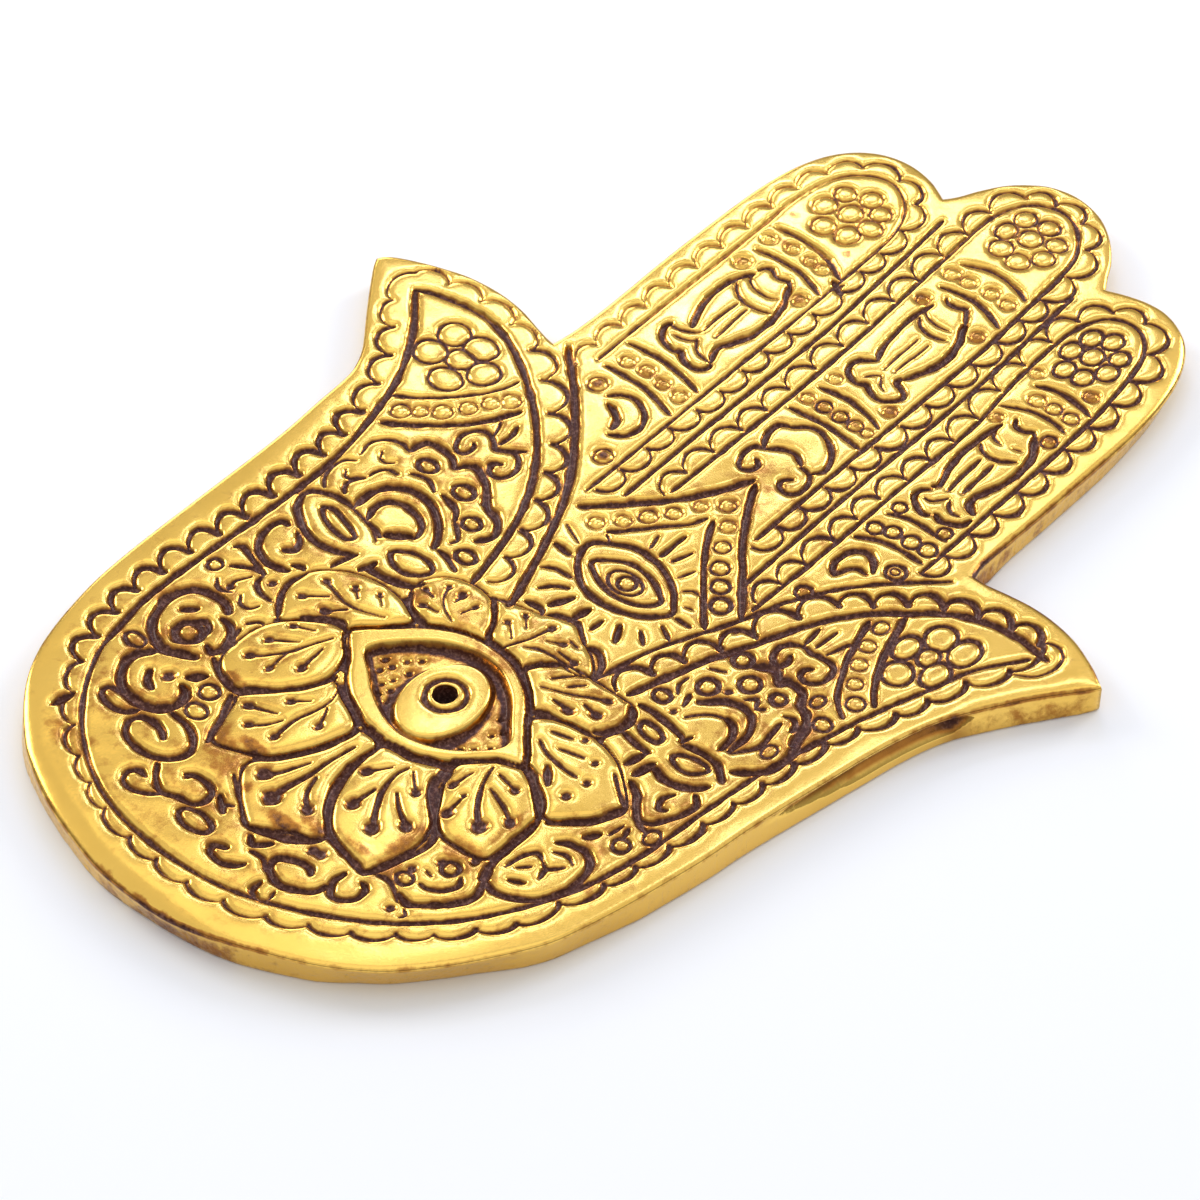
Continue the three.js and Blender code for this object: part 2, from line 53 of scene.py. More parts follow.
# Outline of the rim: six stretches from corner to corner, anticlockwise from the right thumb
outline_shares = [
    [49.8, 13.7, 48, 15, 46, 16.1, 43.5, 17.2, 40.5, 17.9, 37.5, 18.1, 34.5, 17.8, 32, 17.4, 30.2, 17.4],
    [30.2, 17.4, 29.7, 20, 29.75, 25, 29.85, 32, 29.85, 40, 29.75, 46, 29.3, 51, 28.4, 55.3, 27, 58.9,
     25.2, 61.5, 23, 63, 20.5, 63.9, 18, 63.9, 15.5, 63.3, 13.4, 62.5],
    [13.4, 62.5, 12.3, 64.3, 11, 66.7, 9, 69.2, 6.5, 71.3, 4, 72.5, 1, 73, -2, 72.4, -4.2, 71, -6.2, 69,
     -7.8, 66.4, -9, 63.9, -10, 62.4],
    [-10, 62.4, -12.5, 63.7, -15, 64.4, -17.5, 64.5, -20, 63.9, -22.2, 62.6, -24, 60.7, -25.4, 58.2,
     -26.5, 54.5, -27.05, 50, -27.2, 46, -27.2, 41, -27.15, 36, -27, 31, -26.75, 26, -26.6, 21, -26.7, 17,
     -27, 14.3],
    [-27, 14.3, -28, 14.45, -30, 15, -33, 15.9, -36, 16.35, -39, 16.35, -42, 15.95, -45, 15.05, -47.5, 14.1,
     -50, 12.9, -51.2, 11.9, -51.5, 11.2],
    [-51.5, 11.2, -50.8, 10, -49.2, 7.9, -47.2, 5.4, -45.2, 3, -43.5, 1, -42.1, -0.8, -41, -2.8, -40.35, -5,
     -39.9, -10, -39.4, -15, -39.15, -20, -39.05, -25, -38.95, -30, -38.85, -35, -38.65, -40, -38.25, -44.6,
     -37.5, -48.6, -36.6, -52.1, -35.4, -55.4, -33.6, -58.6, -31.2, -61.5, -28.2, -64.25, -25.1, -66.4, -20,
     -68.8, -15, -70.3, -10, -71.4, -5, -71.7, 0, -71.4, 4.2, -70.5, 7.4, -69.4, 11.2, -67.8, 15.7, -65.6,
     19.9, -62.7, 22.8, -59.8, 26, -55.7, 29.8, -49.6, 31.3, -45.5, 32.7, -40, 33.7, -35, 34.6, -30, 35.2,
     -25, 36, -20, 36.9, -15, 37.8, -10, 38.7, -6, 39.8, -2.3, 41.2, 1, 43.3, 4.7, 45.7, 8.4, 49.8, 13.7],
]

# Chased border lines: the width of each, then its points
border_line_shares = [
    [0.9, -8.5, -18.7, -9.7, -13.5, -12.3, -6.3, -17, 0.7, -23.5, 6.7, -30.5, 11, -36, 12.4, -42, 11.5,
     -44.6, 10.4],
    [0.9, -44.6, 10.4, -40, 5.3, -36.2, -1, -33.8, -7.8, -32.3, -15, -32, -25, -32.3, -35, -32.3, -43, -31,
     -50],
    [0.6, -32.3, -43, -31, -50, -28.5, -55, -24, -60, -17, -64.2, -9, -65.8, 0, -65.3, 9, -62.3, 15, -58.8,
     19, -55.5],
    [0.65, 9, -62.3, 15, -58.8, 19, -55.5, 23, -51, 26.2, -45.5, 28.3, -40, 29.7, -33, 30.6, -24, 31.5, -17,
     33, -11, 34.8, -4, 37, 2.5, 38.5, 7, 41.8, 11.9],
    [1, 43.3, 13, 38, 13.6, 32.5, 12, 28.5, 8.8, 24.5, 4.8, 21.8, 0.5, 19.5, -4.8, 16.5, -12, 14.3, -19.5],
    [1.1, -25.5, 15.1, -18.5, 8.5, -11.5, 0, -7, -8.5, -3.2, -18.7],
    [0.7, 28.9, 15.3, 22.5, 8.7, 18.2, 2, 15.5, -5, 12, -13, 10.5, -19.5],
    [0.48, -21.5, 15.5, -22, 29, -22.4, 44, -22.7, 50, -22, 55.5, -20, 59, -16.5, 60.6, -13, 59, -10.7, 55,
     -9.9, 49, -9.4, 34, -9.1, 20, -8.7, -0.5],
    [0.65, -7.7, 59.5, -6.6, 48, -5.7, 36, -5.5, 16, -5.2, 1.8],
    [0.65, -1.8, 5.5, -1.8, 24, -2.4, 41, -3.3, 52, -3.9, 62, -3, 66.5, -1, 69, 1.5, 69.8, 4, 69, 6.3, 66.7,
     7.9, 63, 8.7, 55, 9.3, 44, 9.4, 24, 9.6, 6],
    [0.65, 11.4, 59, 11.8, 52, 12.5, 40, 12.6, 20, 13, 0],
    [0.65, 16, -2, 16.2, 12, 16.1, 26, 16, 36, 15, 44, 14.7, 53, 15.6, 57.5, 17.2, 59.3, 19.2, 59.8, 21.2,
     59, 23.3, 56, 24.6, 49, 25.3, 39, 25.7, 14],
    [1, 3.6, 12.8, 2.4, 10.3, 0.8, 7.3, -0.8, 4.9, -2.9, 2.5, -5.1, -0.1, -7.7, -2.7],
    [1, 4.1, 12.4, 5.6, 9.7, 7.7, 6.5, 9.6, 3.9, 12, 1.2, 14.4, -1.7, 15.9, -3.6],
    [0.7, 3.6, 5.2, 2.9, 3.3, 1.1, 1.2, -1.1, -1.5, -2.9, -3.6],
    [0.9, 4.4, 5.2, 5.9, 2.5, 8, -0.4, 10.7, -3.6, 12.8, -6, 14, -7.2],
]

# Scallop rows: width, bulge and lean, then the cusps; each row bulges to the left of the way it runs,
# and each arc is thickest at its end, or at its start where the lean is below 0
scallop_shares = [
    [0.42, 0.3, 1, -46.6, 12.4, -42.4, 13.7, -37.7, 14.1, -32.6, 13.7, -28, 12],
    [0.7, 0.4, -1, -28, 12, -23.8, 9.3, -19.6, 5.9, -16.1, 2.5, -13.7, -1.2, -11.6, -5, -9.7, -9.4, -8.3,
     -13.4, -7.2, -17.3],
    [0.75, 0.22, -1, 41.3, 14.7, 41.3, 9.3, 39, 5, 37.5, 0.5, 36.4, -3.2, 34.7, -7.3, 33.5, -11, 32.8,
     -15.2, 32.3, -19.4, 31.8, -23.3],
    [0.65, 0.2, -1, 31.8, -23.3, 31.3, -27.4, 30.7, -31.8, 30, -36, 29.2, -39.8, 27.5, -44.5, 26.2, -49.2,
     23.7, -52.3, 21.1, -55.5],
    [0.5, 0.2, 1, 21.1, -55.5, 18.3, -57.9, 14.9, -60.7, 11.2, -62.8, 7.3, -64.8, 2.8, -66.2, -1.5, -67,
     -5.8, -67, -9.8, -66.8, -14.4, -65.9, -18, -64.5, -21.5, -62.8],
    [0.65, 0.26, 1.1, -21.5, -62.8, -25, -60.3, -28.2, -57.4, -30.8, -53.8],
    [1, 0.5, 1.2, -30.8, -53.8, -32.3, -50.3, -33.3, -46.6, -34, -43, -33.9, -39.3, -33.9, -35.3, -33.5,
     -31.4, -33.3, -27.7, -33.3, -23.5, -33.6, -19.4, -33.8, -15.4, -34.2, -11.7, -35.4, -7.9],
    [0.7, 0.36, 1.1, -35.4, -7.9, -37.1, -3.5, -39.2, 0.7, -42.2, 4.2],
    [0.42, 0.3, 1, -42.2, 4.2, -45.3, 7.3, -46.6, 12.4],
    [0.9, 0.46, 1, 12.8, -19.8, 14, -15.5, 15.3, -12, 17, -8.2, 18.6, -4.5, 20.1, 0.6, 22.2, 4.7],
    [1, 0.46, 1, 22.2, 4.5, 24.9, 7.1, 27.6, 9.6, 30.6, 11.8, 34, 13.3, 37.6, 14.3, 41.2, 14.5],
    [0.42, 0.34, 1.2, -22.8, 13.5, -23.3, 17.3, -23.2, 21.5, -23.4, 25.7, -23.6, 30, -23.6, 34.5, -23.7, 39,
     -23.8, 43.5, -23.8, 48, -23.8, 52.5, -23, 56.8, -20.5, 60.5],
    [0.55, 0.36, 1, -20.5, 60.5, -15.8, 61.6, -11.8, 59.7, -10.2, 54.9, -9.3, 50.3, -9, 46.3, -9, 42, -8.5,
     37.3, -8.6, 33.1, -8.5, 29, -8.3, 25, -8, 20.9, -7.9, 16.9, -8.3, 12.8, -8.1, 8.8, -8, 4.5, -7.8, 0.4],
    [0.6, 0.4, 1.1, -2.2, 4.7, -2.7, 8.8, -2.6, 13.2, -2.6, 17.8, -2.6, 22, -2.9, 26.2, -2.9, 30.7, -3,
     35.5, -3.2, 40.3, -3.4, 45, -3.6, 49.7, -4.2, 54.8, -4.3, 59.6, -4.6, 64.2, -3.2, 69, 0.2, 70.5, 4.5,
     69.8],
    [0.62, 0.4, 1, 4.5, 69.8, 7.7, 66.5, 9, 61.4, 9.2, 56.3, 9.4, 52, 9.5, 47.4, 9.9, 42.8, 10, 38.5, 10.2,
     34.3, 10.3, 30, 10.3, 25.5, 10.3, 21.3, 10.3, 17.1, 10.3, 13, 10.3, 9.1, 10.3, 5],
    [0.62, 0.42, 1.1, 15.4, -0.8, 15.5, 3, 15.7, 7, 15.7, 11.7, 15.4, 15.7, 15.3, 19.7, 15.5, 23.9, 15.7,
     28, 15.5, 32, 15.3, 36.5, 14.5, 41.5, 14, 46.6, 13.9, 51.5, 14.1, 56.3, 16.2, 60, 20, 61.1],
    [0.68, 0.44, 1, 20, 61.1, 23.5, 57.4, 24.8, 52.5, 25.1, 48, 25.4, 43.5, 25.6, 39, 25.8, 34.7, 25.9,
     30.4, 25.9, 26, 25.9, 22, 26.1, 17.8, 25.8, 14],
]

# Lotus petals, anticlockwise round each
petal_shares = [
    [-8.5, -26.2, -11.3, -25, -12.4, -23, -11.8, -21, -10, -19.5, -7.5, -18.9, -5, -19.4, -3.3, -21,
     -2.3, -22.8, -2, -23.7, -4, -24.2, -6.5, -25.3],
    [-1.5, -23, -3, -20.8, -4.8, -18.9, -2.5, -18, 0, -17.3, 2.5, -16.3, 4.2, -16.2, 6, -17.3, 8, -18.3,
     9.5, -19.8, 9.3, -20.6, 8, -21, 6, -21, 4.5, -22.5, 4, -24, 2.5, -23.5, 0, -23.2],
    [4.5, -23.8, 5.5, -21.8, 7.5, -20.9, 11, -20.5, 15.5, -20.5, 16.4, -22, 16.6, -24, 15.6, -26,
     12.5, -26.5, 9.5, -27.3, 8.5, -27.3, 6.5, -25.6, 4.5, -24.2],
    [9.5, -28.8, 12, -26.9, 15.5, -26.4, 18.5, -26.9, 21, -28.2, 24.2, -31.3, 23, -33.5, 21, -35.7,
     19.3, -37.2, 17, -35.8, 14.8, -34.6, 13.4, -33.7, 11.5, -31.5],
    [8.1, -38.3, 9.1, -36.5, 10.8, -35.2, 12.5, -34.4, 14.5, -34.9, 16.5, -36.4, 18.3, -38, 18.5, -40,
     18.5, -43, 18, -45.3, 15, -45.8, 13, -45.7, 11.2, -44.3, 9.7, -42.3, 8.4, -40.2],
    [0.8, -41.6, 4, -41, 6.5, -39.9, 8, -39.5, 8.6, -42, 10.3, -44.5, 11.6, -46.5, 12, -48.5, 11.5, -51,
     10.3, -54.2, 7.2, -53.5, 4.5, -52.5, 2.5, -50.3, 1.2, -47.5, 0.6, -44.5],
    [-2.6, -41.7, -0.2, -41.8, -0.2, -45, 0.3, -48.5, 2, -51.5, 4.5, -54, 1.5, -55.5, -2, -57.8,
     -4.5, -56.2, -7, -54, -7.8, -52, -5.8, -49.8, -4, -47, -3, -44.5],
    [-9.5, -38.6, -7.5, -39.5, -3.6, -41.4, -3.9, -44, -5.2, -47, -7, -49.7, -9.5, -51.2, -12.7, -52.2,
     -13.8, -49.8, -14.8, -47, -15.1, -46.3, -13, -44, -10.8, -41.5],
    [-13, -32.9, -11.3, -34.9, -10.3, -37.5, -10.6, -40, -12.3, -42.5, -14.5, -44.6, -17, -45.6, -19, -45,
     -20.5, -43, -20.6, -39, -19.5, -36.3, -17, -34.1, -14.9, -32.8],
    [-13.2, -32, -12, -30.5, -10.5, -28.7, -9.3, -27, -10.5, -26.2, -12.5, -25.5, -15.5, -25.3, -18, -25.9,
     -20, -27, -21.8, -28.8, -22.5, -31, -21.5, -33.5, -19.8, -35.7, -18, -34, -15.5, -32.2],
]

# Great eye: lids, opening, iris and the hole for the stick
lid_shares = [
    -13.2, -32.4, -10.5, -29.4, -7, -26.2, -3.5, -24.4, 0, -23.9, 3.5, -24.5, 7, -26.6, 10, -30, 13.1,
    -33.8,
    10.5, -35.3, 8, -37.8, 4.5, -40, 0.5, -40.9, -3.5, -40.4, -7.5, -38.4, -10.5, -35.3,
]
opening_shares = [
    -10, -32.8, -7.2, -29, -3.5, -26.4, 1, -25.6, 5, -27.2, 8, -30.2, 10, -33.3, 7, -36.8, 3.5, -38.7, 0,
    -39.2,
    -4, -37.8, -7.5, -35.3,
]
iris_share = (0.8, -32.9, 4.4, 5.7)
hole_share = (0.5, -32.2, 1.3)

# Open strokes: the width of each, then its points
left_thumb_stroke_shares = [
    [0.5, -25.6, 7.1, -26.1, 5.2, -27.4, 2.9, -29.9, 0, -32.2, -2.1, -34.6, -3.7],
    [0.9, -22.3, 3.8, -22.9, 2.4, -23.8, 0.7, -24.8, -0.9, -26.4, -2.6, -28.6, -4.7, -30.4, -6.2, -32.4,
     -7.6],
    [0.8, -20.9, 1.8, -20.4, 0.4, -20.4, -1.4],
    [0.5, -22.8, 1.2, -22.2, 0, -21.9, -0.9],
    [0.6, -17.5, -0.4, -18.5, -1.2, -20, -2.1],
    [0.7, -22.7, -3.2, -22.2, -3.9, -22.3, -4.9, -23.2, -5.3, -24.1, -4.5, -24.5, -3.1, -24, -1.7, -22.8,
     -1, -21.5, -1.4, -20.4, -2.3, -19.4, -1.9, -18.3, -1.4, -17.2, -2, -16.4, -3.4, -16.5, -4.7, -17.5,
     -5.5, -18.6, -5.2, -19, -4.1, -18.1, -3.6],
    [1, -26.9, -8.7, -27, -7.7, -26.4, -6.5, -25.3, -6.2, -24.1, -6.2, -22.8, -6.5, -21.6, -7.3, -21, -6.4,
     -19.8, -5.9, -17.6, -6.8, -16, -8.4, -15.5, -9.4],
    [1, -15.7, -8.5, -14.7, -9.5, -12.9, -10.1, -11.8, -11.2, -11.5, -12.4, -12.4, -13.9],
    [0.5, -30.6, -12.7, -31.1, -11.2, -30.8, -10, -29.7, -8.9, -28.2, -8.5, -27, -8.9],
    [0.5, -29.2, -10.8, -28.7, -11.6, -27.7, -11.8, -26.9, -11.2],
    [0.6, -27.6, -14.5, -27.5, -13.4, -26.8, -12.4, -25.3, -12.2],
    [0.5, -30.2, -13.6, -31.3, -14.4, -31.6, -15.9, -31.2, -17.6, -30, -18.9],
    [0.5, -30.2, -15.4, -29.7, -16, -29, -16.1, -28.5, -15.4],
    [0.7, -27.7, -14.9, -28.5, -15.9, -28.6, -17.1, -27.7, -18.1],
    [0.6, -24.5, -11.2, -23.3, -10.7, -22.1, -10.7, -20.7, -11.5],
    [0.8, -19.8, -11.2, -18.6, -11.5, -17.1, -12, -16.1, -13.2],
    [0.7, -15.9, -13.4, -14.7, -14.2, -13.9, -15.2, -14.2, -15.9],
    [1.2, -25.6, -18.6, -25.8, -16.6, -25.3, -14.9, -24, -13.6, -22.3, -12.9, -20.3, -12.9, -18.6, -13.6,
     -17.1, -14.7, -15.9, -16.1, -15, -17.6],
    [0.9, -23.2, -19.2, -23.8, -17.9, -23.7, -16.4, -22.8, -15.4, -21.3, -15, -19.6, -15.3, -18.2, -16.1,
     -17.5, -17.4, -17.6, -18.1],
    [1.5, -20.2, -19.6, -19.2, -18.8, -18, -18],
    [0.8, -22.8, -19.5, -21.3, -19.8, -20.3, -20.3],
    [0.9, -29.7, -19.5, -28.2, -19, -26.5, -18.9, -25.5, -19],
    [0.4, -26, -19.1, -24, -19.4, -21.6, -20.1, -20.1, -21.1],
    [1, -31, -21.3, -30.2, -22.8, -28.7, -24, -26.8, -25, -24.5, -25.4, -22.3, -25, -20.6, -24],
    [0.8, -31, -21.3, -30.5, -20.1, -29, -19.2],
    [0.8, -14.4, -17.5, -12.9, -17.7, -11.5, -18.3, -10.9, -18.6],
    [1.2, -18.1, -23.4, -17.9, -24.3, -16.1, -24.2, -14.2, -23.8, -12.7, -23, -12, -22.3],
    [1, -18.2, -23.4, -18.5, -25.3],
    [0.9, -20.3, -23.8, -20.8, -25.3, -21, -26.9],
]
left_palm_stroke_shares = [
    [1, -28.7, -25.6, -29.7, -25.6, -30.1, -27, -29.8, -28.7, -28.7, -30.2, -27, -30.9, -25.3, -30.8, -24,
     -30.3],
    [0.9, -27.4, -25.6, -26.3, -26.4, -25.6, -27.5, -26, -28.2, -26.6, -28.5],
    [0.9, -24.3, -29.5, -23.3, -29, -22.8, -29.2],
    [0.8, -30.8, -31.7, -30.2, -31, -28.7, -31.4, -27.3, -31.9, -25.5, -32.4],
    [0.8, -29.2, -33.9, -28.2, -33.2, -26.8, -32.4, -25.5, -32.4],
    [0.7, -25.5, -32.7, -25.3, -33.7, -24, -34.5, -22.3, -34.6],
    [0.6, -28.9, -36.1, -27.7, -37, -26.3, -36.4],
    [0.5, -25.3, -36.1, -24.5, -37, -23.3, -36.9, -22.7, -35.9],
    [1.2, -24.4, -38.8, -25.5, -38, -27.2, -37.9, -29, -38.4, -30.2, -39.8, -30.6, -41.8, -29.8, -44.3,
     -28.5, -45.9, -26.6, -46.9, -25.3, -46.8, -23.7, -46, -22.3, -45.5],
    [1, -24.4, -39.8, -23.3, -39.8, -22.1, -40.8, -21.3, -42.3, -21.6, -43.8, -22.8, -43.5],
    [1.2, -28.3, -41.7, -27.9, -41.2, -27.2, -40.6],
    [1, -26.3, -42.5, -25.3, -41.3, -24.3, -41.8, -24, -42.8],
    [0.7, -21.9, -38.6, -21.3, -37.6, -20.6, -37.4],
    [0.7, -21.9, -39.6, -21.6, -40.8, -20.7, -41.8],
    [0.9, -22.3, -29.5, -22.7, -31.4, -22.1, -33.4, -20.3, -35.6],
]
petal_stroke_shares = [
    [0.6, -18.3, -34.2, -17, -33.2, -15.8, -32.3, -14.5, -31.9, -13.6, -32.3],
    [0.85, -9.7, -37.7, -10, -39.3, -11.3, -41.5, -13.2, -43.6, -15.1, -44.9, -15.7, -45.9, -18.3, -45.6,
     -21, -44.3],
    [0.6, -12.1, -23.9, -11.1, -25.3, -9.5, -26, -7.9, -26.2],
    [0.7, -4.9, -18.8, -3.3, -20.7, -2.4, -22, -2, -23.4],
    [0.35, 2, -21.9, 3.6, -21.1, 5.7, -20.8, 9, -20.7],
    [0.3, 4.9, -18.1, 6.3, -18.3],
    [0.9, 4, -23.9, 4.9, -22.5, 6.3, -21.5],
    [0.9, -2.5, -16.7, -0.7, -16.5, 0.2, -17.2],
    [0.8, 0.4, -16.9, 1.5, -15.9, 3.6, -15.5, 4.9, -16.3, 6.3, -17.3],
    [1, 6.8, -17.2, 8.1, -17.1, 9.5, -18.3, 10.3, -19.9],
    [0.6, -3.3, -18.3, -4.7, -18.8],
    [0.5, 7.1, -23.3, 8.7, -21.3],
    [0.5, 9.1, -23.1, 10.4, -21.6],
    [0.7, 8.7, -27.5, 10, -27.1, 12.1, -26.8],
    [1.1, 15.6, -20.4, 16.7, -21.7, 16.8, -23.3, 16.1, -24.9, 15.3, -25.7],
    [0.5, 10, -20.4, 12.7, -20.3, 15.3, -20.3],
    [0.4, 12, -28.7, 14.5, -27.9],
    [0.45, 14.1, -29.9, 17, -29.1],
    [0.5, 11.9, -30.3, 13.8, -31.2, 16, -31.5, 18.1, -31.5],
    [0.9, 14.8, -32.3, 16.6, -34.2],
    [1.05, 24, -31.2, 23.7, -32.8, 22.7, -34.7, 21.1, -36.3, 19.7, -37.6],
    [0.6, 20.5, -28.5, 22.4, -29.9, 24.3, -31.2],
    [1.1, 13.3, -33.6, 15.2, -34.7, 17.3, -36, 18.7, -37.6],
    [0.8, 7.3, -39.1, 8.1, -41.5, 9.5, -43.6, 11.1, -45.2],
    [1, 18.8, -38, 19, -40, 19, -42.6, 19.1, -44.8, 19.7, -47.4],
    [0.95, 7.4, -41, 8.6, -42.9, 10.9, -44.8, 12.5, -46.4, 12.8, -48.3, 12.2, -50.6, 11.5, -52.8, 10.9,
     -54.4],
    [0.85, -2.7, -41.9, -3.5, -44.5, -4.8, -47.4, -6.4, -49.9, -8, -51.2],
    [0.85, 0.3, -41.9, 0, -45.1, 0.5, -47.7, 1.6, -49.9, 2.9, -51.7, 4.8, -53.4, 7.4, -53.9, 9.6, -54.4,
     10.9, -54.6],
    [0.6, -8, -54.1, -6.7, -55, -4.8, -56.3, -3.2, -57.4, -2.1, -57.9],
    [1.1, -1.9, -57.9, 0.3, -57, 2.6, -56, 4.5, -54.4],
    [0.9, -15.9, -46.7, -14.3, -49.9, -13.1, -52.8],
]
heel_stroke_shares = [
    [1.3, -26.3, -47.7, -27.4, -49.3, -27.3, -50.9, -26.3, -52.5, -24.7, -53.5, -22.6, -53.7, -20.7, -53.3,
     -19.4, -52, -19.1, -50.7, -19.8, -49.5, -20.7, -49.1],
    [1, -24.6, -49.9, -23.8, -51, -22.6, -51.5],
    [1.2, -21, -48, -19.7, -46.6],
    [0.8, -24.2, -54, -25.8, -54.1, -26.3, -54.9, -25.5, -55.7, -23.9, -56, -22.3, -55.5, -21.5, -54.4],
    [1, -18.7, -52.4, -16.7, -52.5, -14.9, -53.2, -13.7, -54.4, -13.5, -55.7, -14.5, -57.1, -16.2, -57.9,
     -18.3, -58.1, -20.2, -57.5, -21.1, -56.3, -20.9, -55.2, -19.7, -54.6, -18.1, -54.7, -16.7, -55.5],
    [0.9, -14.9, -58.1, -13.5, -59.7, -11.9, -60.5, -10.1, -59.9, -8.5, -59.6, -7.7, -58.7, -7.9, -57.3,
     -9, -56.7, -10.6, -56.7, -11.7, -57.3],
    [0.7, -14.3, -60.2, -15.6, -60.1, -16.3, -61, -15.8, -62, -14.5, -62.3, -13, -61.8, -11.7, -60.8],
    [1, -7.2, -56.9, -6.2, -57.6, -5.2, -58.3],
    [0.6, -6.2, -57.6, -5, -57],
    [1.2, -28.2, -57.5, -28.5, -59.8],
    [1, 19.2, -45.4, 20.2, -47.4, 20.8, -49.6, 19.8, -51.5, 18.2, -53.1, 16.6, -54.4, 15, -54.1],
    [0.7, 18.2, -48.6, 18.7, -49.6, 17.9, -51, 16.6, -51.8, 15.7, -51.8],
    [0.5, 15, -50.2, 16, -50.4],
    [0.5, 11.8, -53.8, 13.1, -53.6, 14.4, -54.1, 15.7, -55],
    [0.5, 16.8, -55.2, 17.4, -55.7, 17.1, -56.3],
    [0.9, 9.3, -55.8, 9.2, -57.3, 10.2, -58.7, 11.6, -58.3, 12.4, -57.2, 12.2, -55.9, 11.3, -55.5],
    [1, 7, -58.2, 6.1, -57.6, 4.5, -57.9, 3, -58.9, 3.2, -60.2, 4.8, -61, 6.7, -60.8, 8.6, -59.5, 9.1,
     -58.2],
    [0.9, -1.1, -58.6, 0, -59.2, 1.3, -57.9],
    [0.7, 0.3, -60, 1.9, -59.8, 3.2, -60.8],
    [1, -1.6, -61.3, -2.9, -61.8, -2.6, -62.7, -1, -63, 0.3, -62.4, 1.1, -61.6],
    [1, 3.8, -62.1, 4, -63.4, 5.1, -63.8],
    [0.6, 5.8, -62.1, 6.1, -63],
    [0.9, 22.1, -38.9, 23.2, -38.1, 25.1, -37.9, 26.5, -38.9, 27.1, -41.1, 26.7, -43.7, 25.3, -45.9,
     23.5, -47.2, 21.6, -47.7, 20, -47.2],
    [0.6, 20.5, -44.5, 20.8, -42.4, 21.6, -41.2, 22.7, -41.6],
    [0.6, 22.7, -41.6, 23.7, -42.1, 24.5, -41.3, 24.9, -40.8],
    [0.5, 22.7, -40, 24, -39.5, 25.3, -40],
    [1, 21.9, -45.6, 22.5, -45.3, 23.3, -44.9],
    [0.6, 21.3, -44, 22.4, -42.9],
    [0.8, 23.5, -42, 24, -43.5],
]
right_thumb_stroke_shares = [
    [0.9, 16, -19.7, 17.6, -19.5, 20, -19.7, 21.9, -20, 22.7, -20.5],
    [1, 17.3, -23.5, 19.2, -23.9, 21.1, -24],
    [1.1, 20.8, -24.3, 20.3, -26.7],
    [1.1, 22.4, -24.8, 21.9, -27.2],
    [1.1, 22.9, -20.8, 25.1, -20.3, 27.2, -20.5, 29.1, -21.9],
    [1.1, 28.5, -23.3, 27.5, -24.5, 26.1, -25.3, 24.3, -25.5, 22.9, -25.1],
    [1, 22.9, -19.5, 22.4, -20.7],
    [1.1, 20.3, -15.3, 21.8, -13.8, 23.5, -13, 25.3, -13.1, 26.5, -14.4, 27, -16, 26.9, -18.4],
    [0.45, 20.6, -18, 21.3, -16.9, 22.5, -15.8, 24, -15.3],
    [1.1, 24, -15.2, 25.2, -15.7, 26, -17, 26.1, -18.9],
    [1.1, 29.3, -9.4, 30.6, -10.4, 31, -12.2, 31.9, -14.3, 31.9, -16.5, 31.4, -18, 30.2, -19.2, 28.9,
     -20.3],
    [0.8, 28.1, -11, 29, -10.7, 29.8, -11.3, 29.9, -12.2],
    [0.7, 28.4, -12, 28.7, -14.1, 28.8, -16, 27.2, -18.5],
    [0.5, 17.3, -13.6, 17.2, -14.9, 18, -16],
    [0.7, 18.9, -15.2, 19.5, -16.8],
    [0.6, 18.1, -11.1, 19.7, -10.3],
    [0.6, 23.6, -12, 24.5, -11.1, 25.2, -12.1, 26, -11.6],
    [0.8, 26.7, -26.4, 26.1, -27.7, 26.7, -28.8, 27.5, -28.5],
    [0.9, 28.3, -25.1, 29.3, -26.1, 29.1, -27.7, 28.3, -29.3, 27.5, -30.7, 26.4, -31.2],
    [1, 22.1, -28, 23.7, -28.8, 25.1, -30.4, 26.4, -31.5, 27.7, -32],
    [0.8, 26.2, -32.8, 26.6, -34],
    [0.5, 25.6, -32.8, 25.3, -34.7],
    [1.2, 23.7, -36.5, 24.5, -35.2],
    [0.4, 41.5, 14.8, 42.3, 15.2, 43.3, 15.2, 44.3, 14.3, 44.6, 12.7, 44.1, 11.1, 43.3, 10, 41.9, 9.2],
    [0.9, 28.5, 7.9, 29.2, 5.7, 30, 3.1, 31.3, 0.1, 32.7, -2.3, 34.1, -3.9],
    [0.8, 26.1, 4.9, 26.7, 2.8, 27.6, -0.1, 28.9, -2.8, 30.5, -5.5, 32.7, -7.3],
    [0.7, 22.9, 0.7, 23.2, -2],
    [0.6, 24.6, 1.6, 24.4, -1.7],
    [0.5, 26.7, 1.2, 25.9, -1.7],
    [0.8, 23.1, -4.1, 23.5, -5.2, 23.1, -6.1, 22, -5.7, 21.5, -4.4, 22, -3.1, 23.3, -2.3, 24.5, -2.5,
     25.5, -2.3, 27.1, -2.3, 28, -3.3, 27.9, -4.9, 26.8, -6, 25.7, -5.7, 25.5, -4.8, 26.1, -4.1],
    [1.2, 21.2, -7.9, 22.3, -7.1, 23.3, -6.7, 24.7, -7.9, 25.2, -7.1, 27.3, -7.2, 28.4, -8.7, 29.7, -9.5,
     30.5, -10.8, 31.1, -13.5],
    [0.7, 21.5, -12.4, 22, -12.1],
    [0.4, 16.7, -5.7, 17.2, -4.7, 17.7, -4.7],
]
